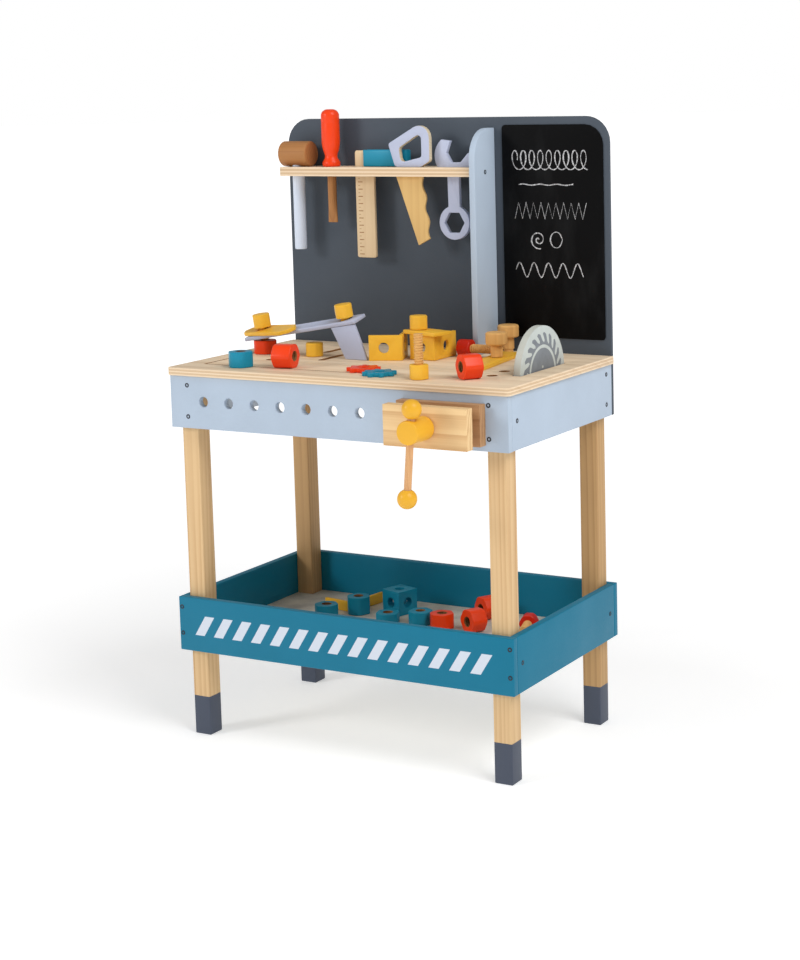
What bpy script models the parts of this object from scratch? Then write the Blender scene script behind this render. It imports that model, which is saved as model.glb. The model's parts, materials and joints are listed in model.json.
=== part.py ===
"""A toddler's wooden workbench: a legged frame with a parts tray, a tool board, a vise and a saw disc.

Metres, +Z up, the child stands on the -Y side. The origin is on the floor, under the middle of the
whole bench with its vise. Distances called "behind" are measured back from the worktop's front edge.
"""

import math

import bmesh
import bpy
from mathutils import Matrix, Vector

# Whole bench
BENCH_WIDTH = 0.500
BENCH_DEPTH = 0.295  # worktop front edge to the back of the tool board
BENCH_HEIGHT = 0.800
WORKTOP_HEIGHT = 0.490
GAP = 0.0003  # between pieces that touch
RUN = 0.0006  # all round a piece that slides or turns in a hole

# Frame
WORKTOP_THICKNESS = 0.010
WORKTOP_CORNER = 0.006
OVERHANG = 0.003
BOARD = 0.009
APRON_HEIGHT = 0.068
BACKBOARD_THICKNESS = 0.006
BACKBOARD_CORNER = 0.034
LEG = 0.025
PEG_HOLE = 0.014  # the bore that every toy bolt goes through
APRON_HOLES = 7
APRON_HOLE_PITCH = 0.0393
APRON_HOLE_INSET = 0.0515  # from the apron's end to the first hole
APRON_HOLE_DROP = 0.0325  # below the apron's top edge

# Tray
TRAY_BOARD = 0.010
TRAY_HEIGHT = 0.0715
TRAY_BASE = 0.1155
TRAY_FLOOR = 0.004
TRAY_FLOOR_RISE = 0.0115

# Tool shelf, divider and chalkboard
SHELF_THICKNESS = 0.012
SHELF_DEPTH = 0.050
SHELF_TOP = 0.7355
SHELF_INSET = 0.018  # from the bench's left side
SHELF_CORNER = 0.008
DIVIDER_X = 0.0765
DIVIDER_DEPTH = 0.056
DIVIDER_DROP = 0.014  # below the tool board's top
DIVIDER_CORNER = 0.040
CHALK_THICKNESS = 0.0015
CHALK_MARGIN = 0.0105
CHALK_BOTTOM = 0.020  # above the worktop
CHALK_CORNER = 0.005
CHALK_LEFT = 0.0115  # right of the divider

# Vise
JAW_WIDTH = 0.1145
JAW_HEIGHT = 0.050
JAW_THICKNESS = 0.014
JAW_OPENING = 0.0173
JAW_INSET = 0.091  # vise axis from the bench's right side
JAW_DROP = 0.0105  # below the worktop's underside
SCREW_RADIUS = 0.007
SCREW_TAIL = 0.036  # how far the screw runs behind the fixed jaw's face
GUIDE_RADIUS = 0.005
GUIDE_SPREAD = 0.040
GUIDE_SOCKET = 0.011  # how deep the guides go into the moving jaw
KNOB_RADIUS = 0.0145
KNOB_LENGTH = 0.040
BAR_RADIUS = 0.0045
BAR_INSET = 0.009  # behind the knob's face
BAR_TILT = math.radians(5)
BAR_REACH = 0.0798  # vise axis to the lower ball's centre
BALL_RADIUS = 0.012
SOCKET = 0.008  # how deep a rod goes into the piece it is glued in

# Round saw
SAW_RADIUS = 0.060
SAW_THICKNESS = 0.010
SAW_INSET = 0.037  # from the bench's right side
SAW_BEHIND = 0.150
SAW_CLEARANCE = 0.0015
AXLE_RADIUS = 0.003
AXLE_LENGTH = 0.040
KEEPER_THICKNESS = 0.006
KEEPER_MARGIN = 0.006

# Shelf tools: where each hangs, behind the worktop's front edge
TOOL_SETBACK = 0.025  # in front of the tool board
SAW_SETBACK = 0.037
SQUARE_SETBACK = 0.023
MALLET_X = -0.2145
DRIVER_X = -0.160
SQUARE_X = -0.107
WRENCH_X = 0.0325

# Toy fasteners
SHANK_RADIUS = PEG_HOLE / 2 - 0.001
NUT_FLATS = 0.030
NUT_HEIGHT = 0.020
HEAD_FLATS = 0.0225
HEAD_HEIGHT = 0.018
STRIP_WIDTH = 0.030
STRIP_THICKNESS = 0.005

# Where things are, worked out from the sizes above
WORKTOP_UNDER = WORKTOP_HEIGHT - WORKTOP_THICKNESS
BACK_FACE = BENCH_DEPTH - BACKBOARD_THICKNESS
SIDE_OUT = BENCH_WIDTH / 2 - OVERHANG
SIDE_IN = SIDE_OUT - BOARD
APRON_TOP = WORKTOP_UNDER - GAP
APRON_BASE = WORKTOP_UNDER - APRON_HEIGHT
FRONT_IN = OVERHANG + BOARD
TRAY_BACK_IN = BENCH_DEPTH - TRAY_BOARD
LEG_OUT = SIDE_IN - GAP
LEG_FRONT = FRONT_IN + GAP
LEG_BACK = TRAY_BACK_IN - GAP
TRAY_TOP = TRAY_BASE + TRAY_HEIGHT
TRAY_SIDE_OUT = SIDE_IN + TRAY_BOARD
TRAY_FLOOR_TOP = TRAY_BASE + TRAY_FLOOR_RISE + TRAY_FLOOR
FIXED_JAW_FACE = OVERHANG - GAP - JAW_THICKNESS
MOVING_JAW_BACK = FIXED_JAW_FACE - JAW_OPENING
MOVING_JAW_FACE = MOVING_JAW_BACK - JAW_THICKNESS
KNOB_BACK = MOVING_JAW_FACE - GAP
KNOB_FACE = KNOB_BACK - KNOB_LENGTH
BAR_LINE = KNOB_FACE + BAR_INSET
JAW_Z = WORKTOP_UNDER - JAW_DROP - JAW_HEIGHT / 2
JAW_X = BENCH_WIDTH / 2 - JAW_INSET
SAW_X = BENCH_WIDTH / 2 - SAW_INSET
TOOL_LINE = BACK_FACE - TOOL_SETBACK
SAW_LINE = BACK_FACE - SAW_SETBACK
SQUARE_LINE = BACK_FACE - SQUARE_SETBACK
SAW_Z = WORKTOP_HEIGHT - WORKTOP_THICKNESS / 2
SHELF_END = DIVIDER_X - BOARD / 2 - GAP
SHELF_START = SHELF_INSET - BENCH_WIDTH / 2
FRONT_Y = -(BENCH_DEPTH - BALL_RADIUS + BAR_LINE) / 2
REST_ON_TOP = WORKTOP_HEIGHT + GAP
REST_ON_SHELF = SHELF_TOP + GAP
REST_ON_TRAY = TRAY_FLOOR_TOP + GAP

UPRIGHT = (math.pi / 2, 0, 0)  # a plate drawn in X and Z, seen from the front
SIDEWAYS = (math.pi / 2, 0, math.pi / 2)  # a plate drawn in Y and Z, seen from the right

PAINTS = {
    "plywood": ((0.78, 0.62, 0.42), 0.6),
    "pine": ((0.80, 0.60, 0.36), 0.6),
    "beech": ((0.62, 0.38, 0.20), 0.55),
    "pale_blue": ((0.55, 0.66, 0.80), 0.5),
    "slate": ((0.10, 0.12, 0.15), 0.6),
    "chalk_black": ((0.012, 0.012, 0.014), 0.8),
    "teal": ((0.02, 0.22, 0.34), 0.5),
    "tray_grey": ((0.40, 0.42, 0.43), 0.7),
    "yellow": ((0.92, 0.58, 0.06), 0.4),
    "red": ((0.85, 0.07, 0.03), 0.4),
    "saw_grey": ((0.22, 0.25, 0.27), 0.6),
}

BENCH = bpy.data.collections.new("toy_workbench")
CUTTERS = bpy.data.collections.new("cutters")


def clear_scene():
    for old in list(bpy.data.objects):
        bpy.data.objects.remove(old)
    bpy.context.scene.collection.children.link(BENCH)
    bpy.context.scene.collection.children.link(CUTTERS)


def behind(distance):
    """World Y of a point this far behind the worktop's front edge."""
    return FRONT_Y + distance


def material(name):
    found = bpy.data.materials.get(name)
    if found:
        return found
    colour, roughness = PAINTS[name]
    made = bpy.data.materials.new(name)
    made.use_nodes = True
    shader = made.node_tree.nodes["Principled BSDF"]
    shader.inputs["Base Color"].default_value = (*colour, 1)
    shader.inputs["Roughness"].default_value = roughness
    shader.inputs["Metallic"].default_value = 0
    return made


def new_object(name, data, paint):
    made = bpy.data.objects.new(name, data)
    data.materials.append(material(paint))
    BENCH.objects.link(made)
    return made


def place(obj, location, rotation=(0, 0, 0), parent=None):
    obj.location = location
    obj.rotation_euler = rotation
    obj.parent = parent
    return obj


def pivot(name, location, rotation=(0, 0, 0), parent=None):
    """An empty on a moving group's axis, which the group's pieces hang from."""
    empty = bpy.data.objects.new(name, None)
    empty.empty_display_size = 0.02
    BENCH.objects.link(empty)
    return place(empty, location, rotation, parent)


# Outlines: lists of points in a plate's own plane


def arc(centre, radius, start, end, steps):
    """Points from one angle to another, in degrees, both ends kept."""
    angles = [math.radians(start + (end - start) * i / steps) for i in range(steps + 1)]
    return [(centre[0] + radius * math.cos(a), centre[1] + radius * math.sin(a)) for a in angles]


def circle(radius, centre=(0, 0), steps=20):
    return arc(centre, radius, 0, 360, steps)[:-1]


def rectangle(low, high):
    return [(low[0], low[1]), (high[0], low[1]), (high[0], high[1]), (low[0], high[1])]


def polygon(sides, flats, turn=0, centre=(0, 0)):
    """A regular polygon by the distance across its flats, a corner at the angle turn in degrees."""
    radius = flats / 2 / math.cos(math.pi / sides)
    return arc(centre, radius, turn, turn + 360, sides)[:-1]


def slot(half_length, half_width, centre=(0, 0), steps=6):
    """A round-ended slot that runs along the outline's second axis."""
    reach = half_length - half_width
    top = arc((centre[0], centre[1] + reach), half_width, 0, 180, steps)
    return top + arc((centre[0], centre[1] - reach), half_width, 180, 360, steps)


def rounded(corners, steps=5):
    """An outline from (x, y, radius) corners, each corner rounded by an arc that touches both sides."""
    points = []
    for i, (x, y, radius) in enumerate(corners):
        here = Vector((x, y))
        before = (Vector(corners[i - 1][:2]) - here).normalized()
        after = (Vector(corners[(i + 1) % len(corners)][:2]) - here).normalized()
        if not radius:
            points.append((x, y))
            continue
        half = before.angle(after) / 2
        centre = here + (before + after).normalized() * radius / math.sin(half)
        first = here + before * radius / math.tan(half) - centre
        last = here + after * radius / math.tan(half) - centre
        turn = first.angle_signed(last)
        for step in range(steps + 1):
            spoke = first.copy()
            spoke.rotate(Matrix.Rotation(-turn * step / steps, 2))
            points.append(tuple(centre + spoke))
    return points


# Solids


def plate(name, outline, holes, thickness, paint):
    """A flat sheet, centred on its own plane, as a mesh with its caps closed."""
    sheet = bpy.data.curves.new(name, "CURVE")
    sheet.dimensions = "2D"
    sheet.fill_mode = "BOTH"
    sheet.extrude = thickness / 2
    for loop in [outline, *holes]:
        spline = sheet.splines.new("POLY")
        spline.points.add(len(loop) - 1)
        for point, (x, y) in zip(spline.points, loop):
            point.co = (x, y, 0, 1)
        spline.use_cyclic_u = True
    guide = bpy.data.objects.new(name + "_outline", sheet)
    CUTTERS.objects.link(guide)
    bpy.context.view_layer.update()
    graph = bpy.context.evaluated_depsgraph_get()
    mesh = bpy.data.meshes.new_from_object(guide.evaluated_get(graph))
    bpy.data.objects.remove(guide)
    work = bmesh.new()
    work.from_mesh(mesh)
    bmesh.ops.remove_doubles(work, verts=work.verts, dist=1e-6)
    bmesh.ops.recalc_face_normals(work, faces=work.faces)
    work.to_mesh(mesh)
    work.free()
    mesh.materials.clear()
    return new_object(name, mesh, paint)


def box(name, low, high, paint):
    """A block between two corners, its origin at its middle."""
    size = [high[i] - low[i] for i in range(3)]
    work = bmesh.new()
    bmesh.ops.create_cube(work, size=1, matrix=Matrix.Diagonal((*size, 1)))
    mesh = bpy.data.meshes.new(name)
    work.to_mesh(mesh)
    work.free()
    return place(new_object(name, mesh, paint), [(low[i] + high[i]) / 2 for i in range(3)])


def dowel(name, radius, length, paint, steps=24):
    """A round rod along its own Z, centred on its origin."""
    work = bmesh.new()
    bmesh.ops.create_cone(
        work, cap_ends=True, segments=steps, radius1=radius, radius2=radius, depth=length
    )
    mesh = bpy.data.meshes.new(name)
    work.to_mesh(mesh)
    work.free()
    return smooth(new_object(name, mesh, paint))


def turned(name, profile, paint, steps=24):
    """A lathe piece about its own Z, from (radius, height) points that run down its outer side."""
    mesh = bpy.data.meshes.new(name)
    edges = [(i, i + 1) for i in range(len(profile) - 1)]
    mesh.from_pydata([(radius, 0, height) for radius, height in profile], edges, [])
    made = new_object(name, mesh, paint)
    lathe = made.modifiers.new("lathe", "SCREW")
    lathe.steps = steps
    lathe.render_steps = steps
    lathe.use_merge_vertices = True
    lathe.merge_threshold = 1e-5
    lathe.use_smooth_shade = True
    return made


def smooth(obj):
    obj.data.shade_smooth()
    obj.data.set_sharp_from_angle(angle=math.radians(40))
    return obj


def combine(obj, tool, operation):
    """Cuts a hidden tool object from a piece, or joins it on."""
    for collection in list(tool.users_collection):
        collection.objects.unlink(tool)
    CUTTERS.objects.link(tool)
    tool.hide_render = True
    tool.display_type = "WIRE"
    step = obj.modifiers.new(tool.name, "BOOLEAN")
    step.operation = operation
    step.object = tool
    step.solver = "EXACT"
    return obj


def cut(obj, tool):
    return combine(obj, tool, "DIFFERENCE")


def bore(obj, name, radius, length, location, rotation, parent=None):
    """Drills a round hole, given the middle of the drill and how it is turned."""
    drill = place(dowel(name, radius, length, "pine"), location, rotation, parent)
    return cut(obj, drill)


# Bench frame


def make_worktop():
    """Plywood top with bolt holes, two slots and the saw's slot."""
    half = BENCH_WIDTH / 2
    outline = rounded(
        [
            (-half, 0, WORKTOP_CORNER),
            (half, 0, WORKTOP_CORNER),
            (half, BACK_FACE - GAP, 0),
            (-half, BACK_FACE - GAP, 0),
        ]
    )
    holes = [circle(PEG_HOLE / 2, spot) for spot in ((0.183, 0.082), (0.180, 0.120))]
    holes.append(circle(PEG_HOLE / 2, (HOLE_BOLT_X, HOLE_BOLT_BEHIND)))
    holes.append(circle(PEG_HOLE / 2, (-0.161, 0.107)))
    holes.append(slot(0.030, 0.005, (-0.095, 0.152)))
    holes.append(slot(0.025, 0.005, (-0.130, 0.212)))
    saw_half = SAW_RADIUS + SAW_CLEARANCE
    side = SAW_THICKNESS / 2 + SAW_CLEARANCE
    holes.append(
        rectangle((SAW_X - side, SAW_BEHIND - saw_half), (SAW_X + side, SAW_BEHIND + saw_half))
    )
    top = plate("worktop", outline, holes, WORKTOP_THICKNESS, "plywood")
    place(top, (0, behind(0), WORKTOP_HEIGHT - WORKTOP_THICKNESS / 2))
    groove_top = SAW_Z + AXLE_RADIUS + RUN
    reach = AXLE_LENGTH / 2 + 2 * RUN
    groove = box(
        "axle_groove",
        (SAW_X - reach, behind(SAW_BEHIND) - AXLE_RADIUS - RUN, WORKTOP_UNDER - BOARD),
        (SAW_X + reach, behind(SAW_BEHIND) + AXLE_RADIUS + RUN, groove_top),
        "pine",
    )
    cut(top, groove)


def make_aprons():
    half_height = (APRON_TOP - APRON_BASE) / 2
    outline = rectangle((-SIDE_OUT, -half_height), (SIDE_OUT, half_height))
    hole_y = half_height - APRON_HOLE_DROP
    first = APRON_HOLE_INSET - SIDE_OUT
    holes = [
        circle(PEG_HOLE / 2, (first + i * APRON_HOLE_PITCH, hole_y)) for i in range(APRON_HOLES)
    ]
    jaw_y = JAW_Z - (APRON_TOP + APRON_BASE) / 2
    holes.append(circle(SCREW_RADIUS + RUN, (JAW_X, jaw_y)))
    for side in (-1, 1):
        holes.append(circle(GUIDE_RADIUS + RUN, (JAW_X + side * GUIDE_SPREAD, jaw_y)))
    front = plate("apron_front", outline, holes, BOARD, "pale_blue")
    place(front, (0, behind(OVERHANG + BOARD / 2), (APRON_TOP + APRON_BASE) / 2), UPRIGHT)
    for name, side in (("apron_left", -1), ("apron_right", 1)):
        inner, outer = sorted((side * SIDE_IN, side * SIDE_OUT))
        box(
            name,
            (inner, behind(FRONT_IN + GAP), APRON_BASE),
            (outer, behind(BACK_FACE - GAP), APRON_TOP),
            "pale_blue",
        )


def make_backboard():
    """The tall tool board, which closes the back of the frame too."""
    outline = rounded(
        [
            (-SIDE_OUT, APRON_BASE, 0),
            (SIDE_OUT, APRON_BASE, 0),
            (SIDE_OUT, BENCH_HEIGHT, BACKBOARD_CORNER),
            (-SIDE_OUT, BENCH_HEIGHT, BACKBOARD_CORNER),
        ],
        steps=8,
    )
    board = plate("backboard", outline, [], BACKBOARD_THICKNESS, "slate")
    place(board, (0, behind(BENCH_DEPTH - BACKBOARD_THICKNESS / 2), 0), UPRIGHT)


def make_chalkboard():
    left = DIVIDER_X + BOARD / 2 + CHALK_LEFT
    right = SIDE_OUT - CHALK_MARGIN + OVERHANG
    outline = rounded(
        [
            (left, WORKTOP_HEIGHT + CHALK_BOTTOM, CHALK_CORNER),
            (right, WORKTOP_HEIGHT + CHALK_BOTTOM, CHALK_CORNER),
            (right, BENCH_HEIGHT - CHALK_MARGIN, BACKBOARD_CORNER - CHALK_MARGIN + OVERHANG),
            (left, BENCH_HEIGHT - CHALK_MARGIN, CHALK_CORNER),
        ]
    )
    panel = plate("chalkboard", outline, [], CHALK_THICKNESS, "chalk_black")
    place(panel, (0, behind(BACK_FACE - GAP - CHALK_THICKNESS / 2), 0), UPRIGHT)


def make_divider():
    """The upright plate between the tools and the chalkboard, with a large round front corner."""
    top = BENCH_HEIGHT - DIVIDER_DROP
    outline = rounded(
        [
            (BACK_FACE - DIVIDER_DEPTH, REST_ON_TOP, 0),
            (BACK_FACE - GAP, REST_ON_TOP, 0),
            (BACK_FACE - GAP, top, 0),
            (BACK_FACE - DIVIDER_DEPTH, top, DIVIDER_CORNER),
        ],
        steps=8,
    )
    divider = plate("divider", outline, [], BOARD, "pale_blue")
    place(divider, (DIVIDER_X, behind(0), 0), SIDEWAYS)


def make_shelf():
    """Plywood shelf with one opening for each hanging tool."""
    front = BACK_FACE - SHELF_DEPTH
    outline = rounded(
        [
            (SHELF_START, front, SHELF_CORNER),
            (SHELF_END, front, 0),
            (SHELF_END, BACK_FACE - GAP, 0),
            (SHELF_START, BACK_FACE - GAP, 0),
        ]
    )
    play = 2 * RUN
    half_blade = SQUARE_BLADE_THICKNESS / 2 + play
    half_saw = HANDSAW_BLADE_THICKNESS / 2 + RUN
    half_wrench = WRENCH_THICKNESS / 2 + play
    holes = [
        circle(MALLET_HANDLE_RADIUS + play, (MALLET_X, TOOL_LINE)),
        circle(DRIVER_TIP_WIDTH / 2 + play, (DRIVER_X, TOOL_LINE)),
        rectangle(
            (SQUARE_X - SQUARE_BLADE_WIDTH / 2 - play, SQUARE_LINE - half_blade),
            (SQUARE_X + SQUARE_BLADE_WIDTH / 2 + play, SQUARE_LINE + half_blade),
        ),
        rectangle(
            (HANDSAW_X + HANDSAW_BLADE_LEFT - play, SAW_LINE - half_saw),
            (HANDSAW_X + HANDSAW_BLADE_RIGHT + play, SAW_LINE + half_saw),
        ),
        rectangle(
            (WRENCH_X - WRENCH_SLOT, TOOL_LINE - half_wrench),
            (WRENCH_X + WRENCH_SLOT, TOOL_LINE + half_wrench),
        ),
    ]
    shelf = plate("shelf", outline, holes, SHELF_THICKNESS, "plywood")
    place(shelf, (0, behind(0), SHELF_TOP - SHELF_THICKNESS / 2))


def make_legs():
    """Four square posts that stand inside the aprons and inside the tray boards."""
    for side_name, side in (("left", -1), ("right", 1)):
        for end_name, start in (("front", LEG_FRONT), ("back", LEG_BACK - LEG)):
            inner, outer = sorted((side * (LEG_OUT - LEG), side * LEG_OUT))
            box(
                "leg_" + end_name + "_" + side_name,
                (inner, behind(start), 0),
                (outer, behind(start + LEG), APRON_TOP),
                "pine",
            )


def make_tray():
    """Two long boards that cover the ends of two short ones, round a floor notched for the legs."""
    for name, start in (("tray_front", FRONT_IN - TRAY_BOARD), ("tray_back", TRAY_BACK_IN)):
        box(
            name,
            (-TRAY_SIDE_OUT, behind(start), TRAY_BASE),
            (TRAY_SIDE_OUT, behind(start + TRAY_BOARD), TRAY_TOP),
            "teal",
        )
    for name, side in (("tray_left", -1), ("tray_right", 1)):
        inner, outer = sorted((side * SIDE_IN, side * TRAY_SIDE_OUT))
        box(
            name,
            (inner, behind(FRONT_IN + GAP), TRAY_BASE),
            (outer, behind(TRAY_BACK_IN - GAP), TRAY_TOP),
            "teal",
        )
    wide = SIDE_IN - GAP
    narrow = LEG_OUT - LEG - GAP
    near = FRONT_IN + GAP
    far = TRAY_BACK_IN - GAP
    near_leg = LEG_FRONT + LEG + GAP
    far_leg = LEG_BACK - LEG - GAP
    right_side = [
        (narrow, near),
        (narrow, near_leg),
        (wide, near_leg),
        (wide, far_leg),
        (narrow, far_leg),
        (narrow, far),
    ]
    left_side = [(-x, y) for x, y in reversed(right_side)]
    floor = plate("tray_floor", right_side + left_side, [], TRAY_FLOOR, "tray_grey")
    place(floor, (0, behind(0), TRAY_FLOOR_TOP - TRAY_FLOOR / 2))


# Vise


def make_jaw(name, face, parent):
    """A pine block with a bore for the screw."""
    outline = rectangle((-JAW_WIDTH / 2, -JAW_HEIGHT / 2), (JAW_WIDTH / 2, JAW_HEIGHT / 2))
    jaw = plate(name, outline, [circle(SCREW_RADIUS + RUN)], JAW_THICKNESS, "pine")
    offset = face + JAW_THICKNESS / 2 - KNOB_BACK
    return place(jaw, (0, offset, 0), UPRIGHT, parent)


def make_vise():
    """Two guide dowels glued into the moving jaw slide through the fixed one."""
    axis = pivot("vise_axis", (JAW_X, behind(KNOB_BACK), JAW_Z))
    fixed = make_jaw("vise_fixed_jaw", FIXED_JAW_FACE, axis)
    moving = make_jaw("vise_moving_jaw", MOVING_JAW_FACE, axis)
    tail = FIXED_JAW_FACE + SCREW_TAIL - KNOB_BACK
    fixed_middle = FIXED_JAW_FACE + JAW_THICKNESS / 2 - KNOB_BACK
    jaw_back = MOVING_JAW_BACK - KNOB_BACK
    start = jaw_back - GUIDE_SOCKET + GAP
    for side, sign in (("left", -1), ("right", 1)):
        x = sign * GUIDE_SPREAD
        hole = "guide_hole_" + side
        room = GUIDE_RADIUS + RUN
        bore(fixed, hole, room, 2 * JAW_THICKNESS, (x, fixed_middle, 0), UPRIGHT, axis)
        socket = "guide_socket_" + side
        snug = GUIDE_RADIUS + GAP
        bore(moving, socket, snug, 2 * GUIDE_SOCKET, (x, jaw_back, 0), UPRIGHT, axis)
        guide = dowel("vise_guide_" + side, GUIDE_RADIUS, tail - start, "pine")
        place(guide, (x, (tail + start) / 2, 0), UPRIGHT, axis)
    screw = dowel("vise_screw", SCREW_RADIUS, tail + SOCKET, "pine")
    place(screw, (0, (tail - SOCKET) / 2, 0), UPRIGHT, axis)
    make_knob(axis)
    make_bar()


def make_knob(axis):
    """A turned knob with a blind bore for the screw and a cross bore for the bar."""
    chamfer = 0.0015
    profile = [
        (0, KNOB_LENGTH),
        (KNOB_RADIUS - chamfer, KNOB_LENGTH),
        (KNOB_RADIUS, KNOB_LENGTH - chamfer),
        (KNOB_RADIUS, chamfer),
        (KNOB_RADIUS - chamfer, 0),
        (SCREW_RADIUS + GAP, 0),
        (SCREW_RADIUS + GAP, SOCKET + GAP),
        (0, SOCKET + GAP),
    ]
    knob = turned("vise_knob", profile, "yellow", 32)
    place(knob, (0, 0, 0), UPRIGHT, axis)
    across = (0, BAR_LINE - KNOB_BACK, 0)
    bore(knob, "bar_bore", BAR_RADIUS + RUN, KNOB_RADIUS * 3, across, (0, BAR_TILT, 0), axis)


def make_bar():
    """The tommy bar: a dowel with a ball glued on each end, hanging by its upper ball."""
    centre = pivot("bar_axis", (JAW_X, behind(BAR_LINE), JAW_Z), (0, BAR_TILT, 0))
    upper = KNOB_RADIUS + BALL_RADIUS + GAP
    low_end = BALL_RADIUS - SOCKET - BAR_REACH
    high_end = upper + SOCKET - BALL_RADIUS
    bar = dowel("vise_bar", BAR_RADIUS, high_end - low_end, "beech")
    place(bar, (0, 0, (high_end + low_end) / 2), (0, 0, 0), centre)
    for name, height, turn in (
        ("vise_ball_upper", upper, 0),
        ("vise_ball_lower", -BAR_REACH, math.pi),
    ):
        place(make_ball(name), (0, 0, height), (turn, 0, 0), centre)


def make_ball(name):
    """A bead with a blind bore in its underside."""
    mouth = BAR_RADIUS + GAP
    edge = math.degrees(math.acos(mouth / BALL_RADIUS))
    profile = arc((0, 0), BALL_RADIUS, 90, -edge, 12)
    profile[0] = (0, BALL_RADIUS)
    floor = SOCKET - BALL_RADIUS + GAP
    return turned(name, profile + [(mouth, floor), (0, floor)], "yellow")


def make_round_saw():
    """A wooden disc on an axle in the worktop's underside, and the frame that keeps the axle in."""
    axis = pivot("saw_axis", (SAW_X, behind(SAW_BEHIND), SAW_Z), (0, math.pi / 2, 0))
    disc = plate(
        "saw_disc",
        circle(SAW_RADIUS, steps=48),
        [circle(AXLE_RADIUS + GAP, steps=12)],
        SAW_THICKNESS,
        "saw_grey",
    )
    place(disc, (0, 0, 0), (0, 0, 0), axis)
    axle = dowel("saw_axle", AXLE_RADIUS, AXLE_LENGTH, "pine", 12)
    place(axle, (0, 0, 0), (0, 0, 0), axis)
    slot_half = SAW_RADIUS + SAW_CLEARANCE
    slot_side = SAW_THICKNESS / 2 + SAW_CLEARANCE
    half = slot_half + KEEPER_MARGIN
    side = AXLE_LENGTH / 2
    keeper = plate(
        "saw_keeper",
        rectangle((-side, -half), (side, half)),
        [rectangle((-slot_side, -slot_half), (slot_side, slot_half))],
        KEEPER_THICKNESS,
        "plywood",
    )
    place(keeper, (SAW_X, behind(SAW_BEHIND), WORKTOP_UNDER - GAP - KEEPER_THICKNESS / 2))


# Shelf tools

MALLET_LENGTH = 0.045
MALLET_RADIUS = 0.01725
MALLET_HANDLE_RADIUS = 0.0083
MALLET_HANDLE_DROP = 0.114  # handle's length below the shelf's top
DRIVER_LENGTH = 0.0775
DRIVER_RADIUS = 0.0125
DRIVER_WAIST = 0.0086
DRIVER_SHAFT_RADIUS = 0.006
DRIVER_TIP_WIDTH = 0.015
DRIVER_TIP_THICKNESS = 0.004
DRIVER_DROP = 0.076
SQUARE_BLADE_WIDTH = 0.0295
SQUARE_BLADE_THICKNESS = 0.005
SQUARE_BLADE_DROP = 0.1235
SQUARE_STOCK_HEIGHT = 0.0225
SQUARE_STOCK_THICKNESS = 0.012
SQUARE_STOCK_LEFT = 0.0002  # from the blade's middle to the stock's left end
SQUARE_STOCK_LENGTH = 0.069
HANDSAW_X = -0.027
HANDSAW_THICKNESS = 0.008
HANDSAW_BLADE_THICKNESS = 0.004
HANDSAW_BLADE_LEFT = -0.0262  # these are across from HANDSAW_X
HANDSAW_BLADE_RIGHT = 0.0300
HANDSAW_BLADE_DROP = 0.104
HANDSAW_TONGUE = 0.012
WRENCH_THICKNESS = 0.0065
WRENCH_HEAD_RADIUS = 0.0276
WRENCH_RING_RADIUS = 0.0228
WRENCH_RING_X = 0.0005
WRENCH_RING_DROP = 0.088  # head centre to ring centre
WRENCH_SHANK = 0.0086
WRENCH_JAW = 0.0245  # across the flats that grip a bolt head
WRENCH_SLOT = WRENCH_RING_RADIUS + WRENCH_RING_X + RUN  # half the shelf slot, where the head rests
WRENCH_RISE = math.sqrt(WRENCH_HEAD_RADIUS**2 - (WRENCH_SLOT - GAP) ** 2)  # shelf top to head centre


def make_mallet():
    centre_z = REST_ON_SHELF + MALLET_RADIUS
    half = MALLET_LENGTH / 2
    edge = 0.003
    corner = MALLET_RADIUS - edge
    profile = [(0, half), *arc((corner, half - edge), edge, 90, 0, 3)]
    profile += [*arc((corner, edge - half), edge, 0, -90, 3), (0, -half)]
    head = turned("mallet_head", profile, "beech", 28)
    place(head, (MALLET_X, behind(TOOL_LINE), centre_z), (0, math.pi / 2, 0))
    top = centre_z + MALLET_RADIUS / 2
    bottom = SHELF_TOP - MALLET_HANDLE_DROP
    drill = dowel("mallet_bore", MALLET_HANDLE_RADIUS + GAP, 2 * MALLET_RADIUS, "pine")
    place(drill, (MALLET_X, behind(TOOL_LINE), top + GAP - MALLET_RADIUS))
    cut(head, drill)
    round_end = 0.002
    radius = MALLET_HANDLE_RADIUS
    handle = turned(
        "mallet_handle",
        [
            (0, top - bottom),
            (radius, top - bottom),
            (radius, round_end),
            (radius - round_end, 0),
            (0, 0),
        ],
        "pale_blue",
    )
    place(handle, (MALLET_X, behind(TOOL_LINE), bottom))


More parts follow.
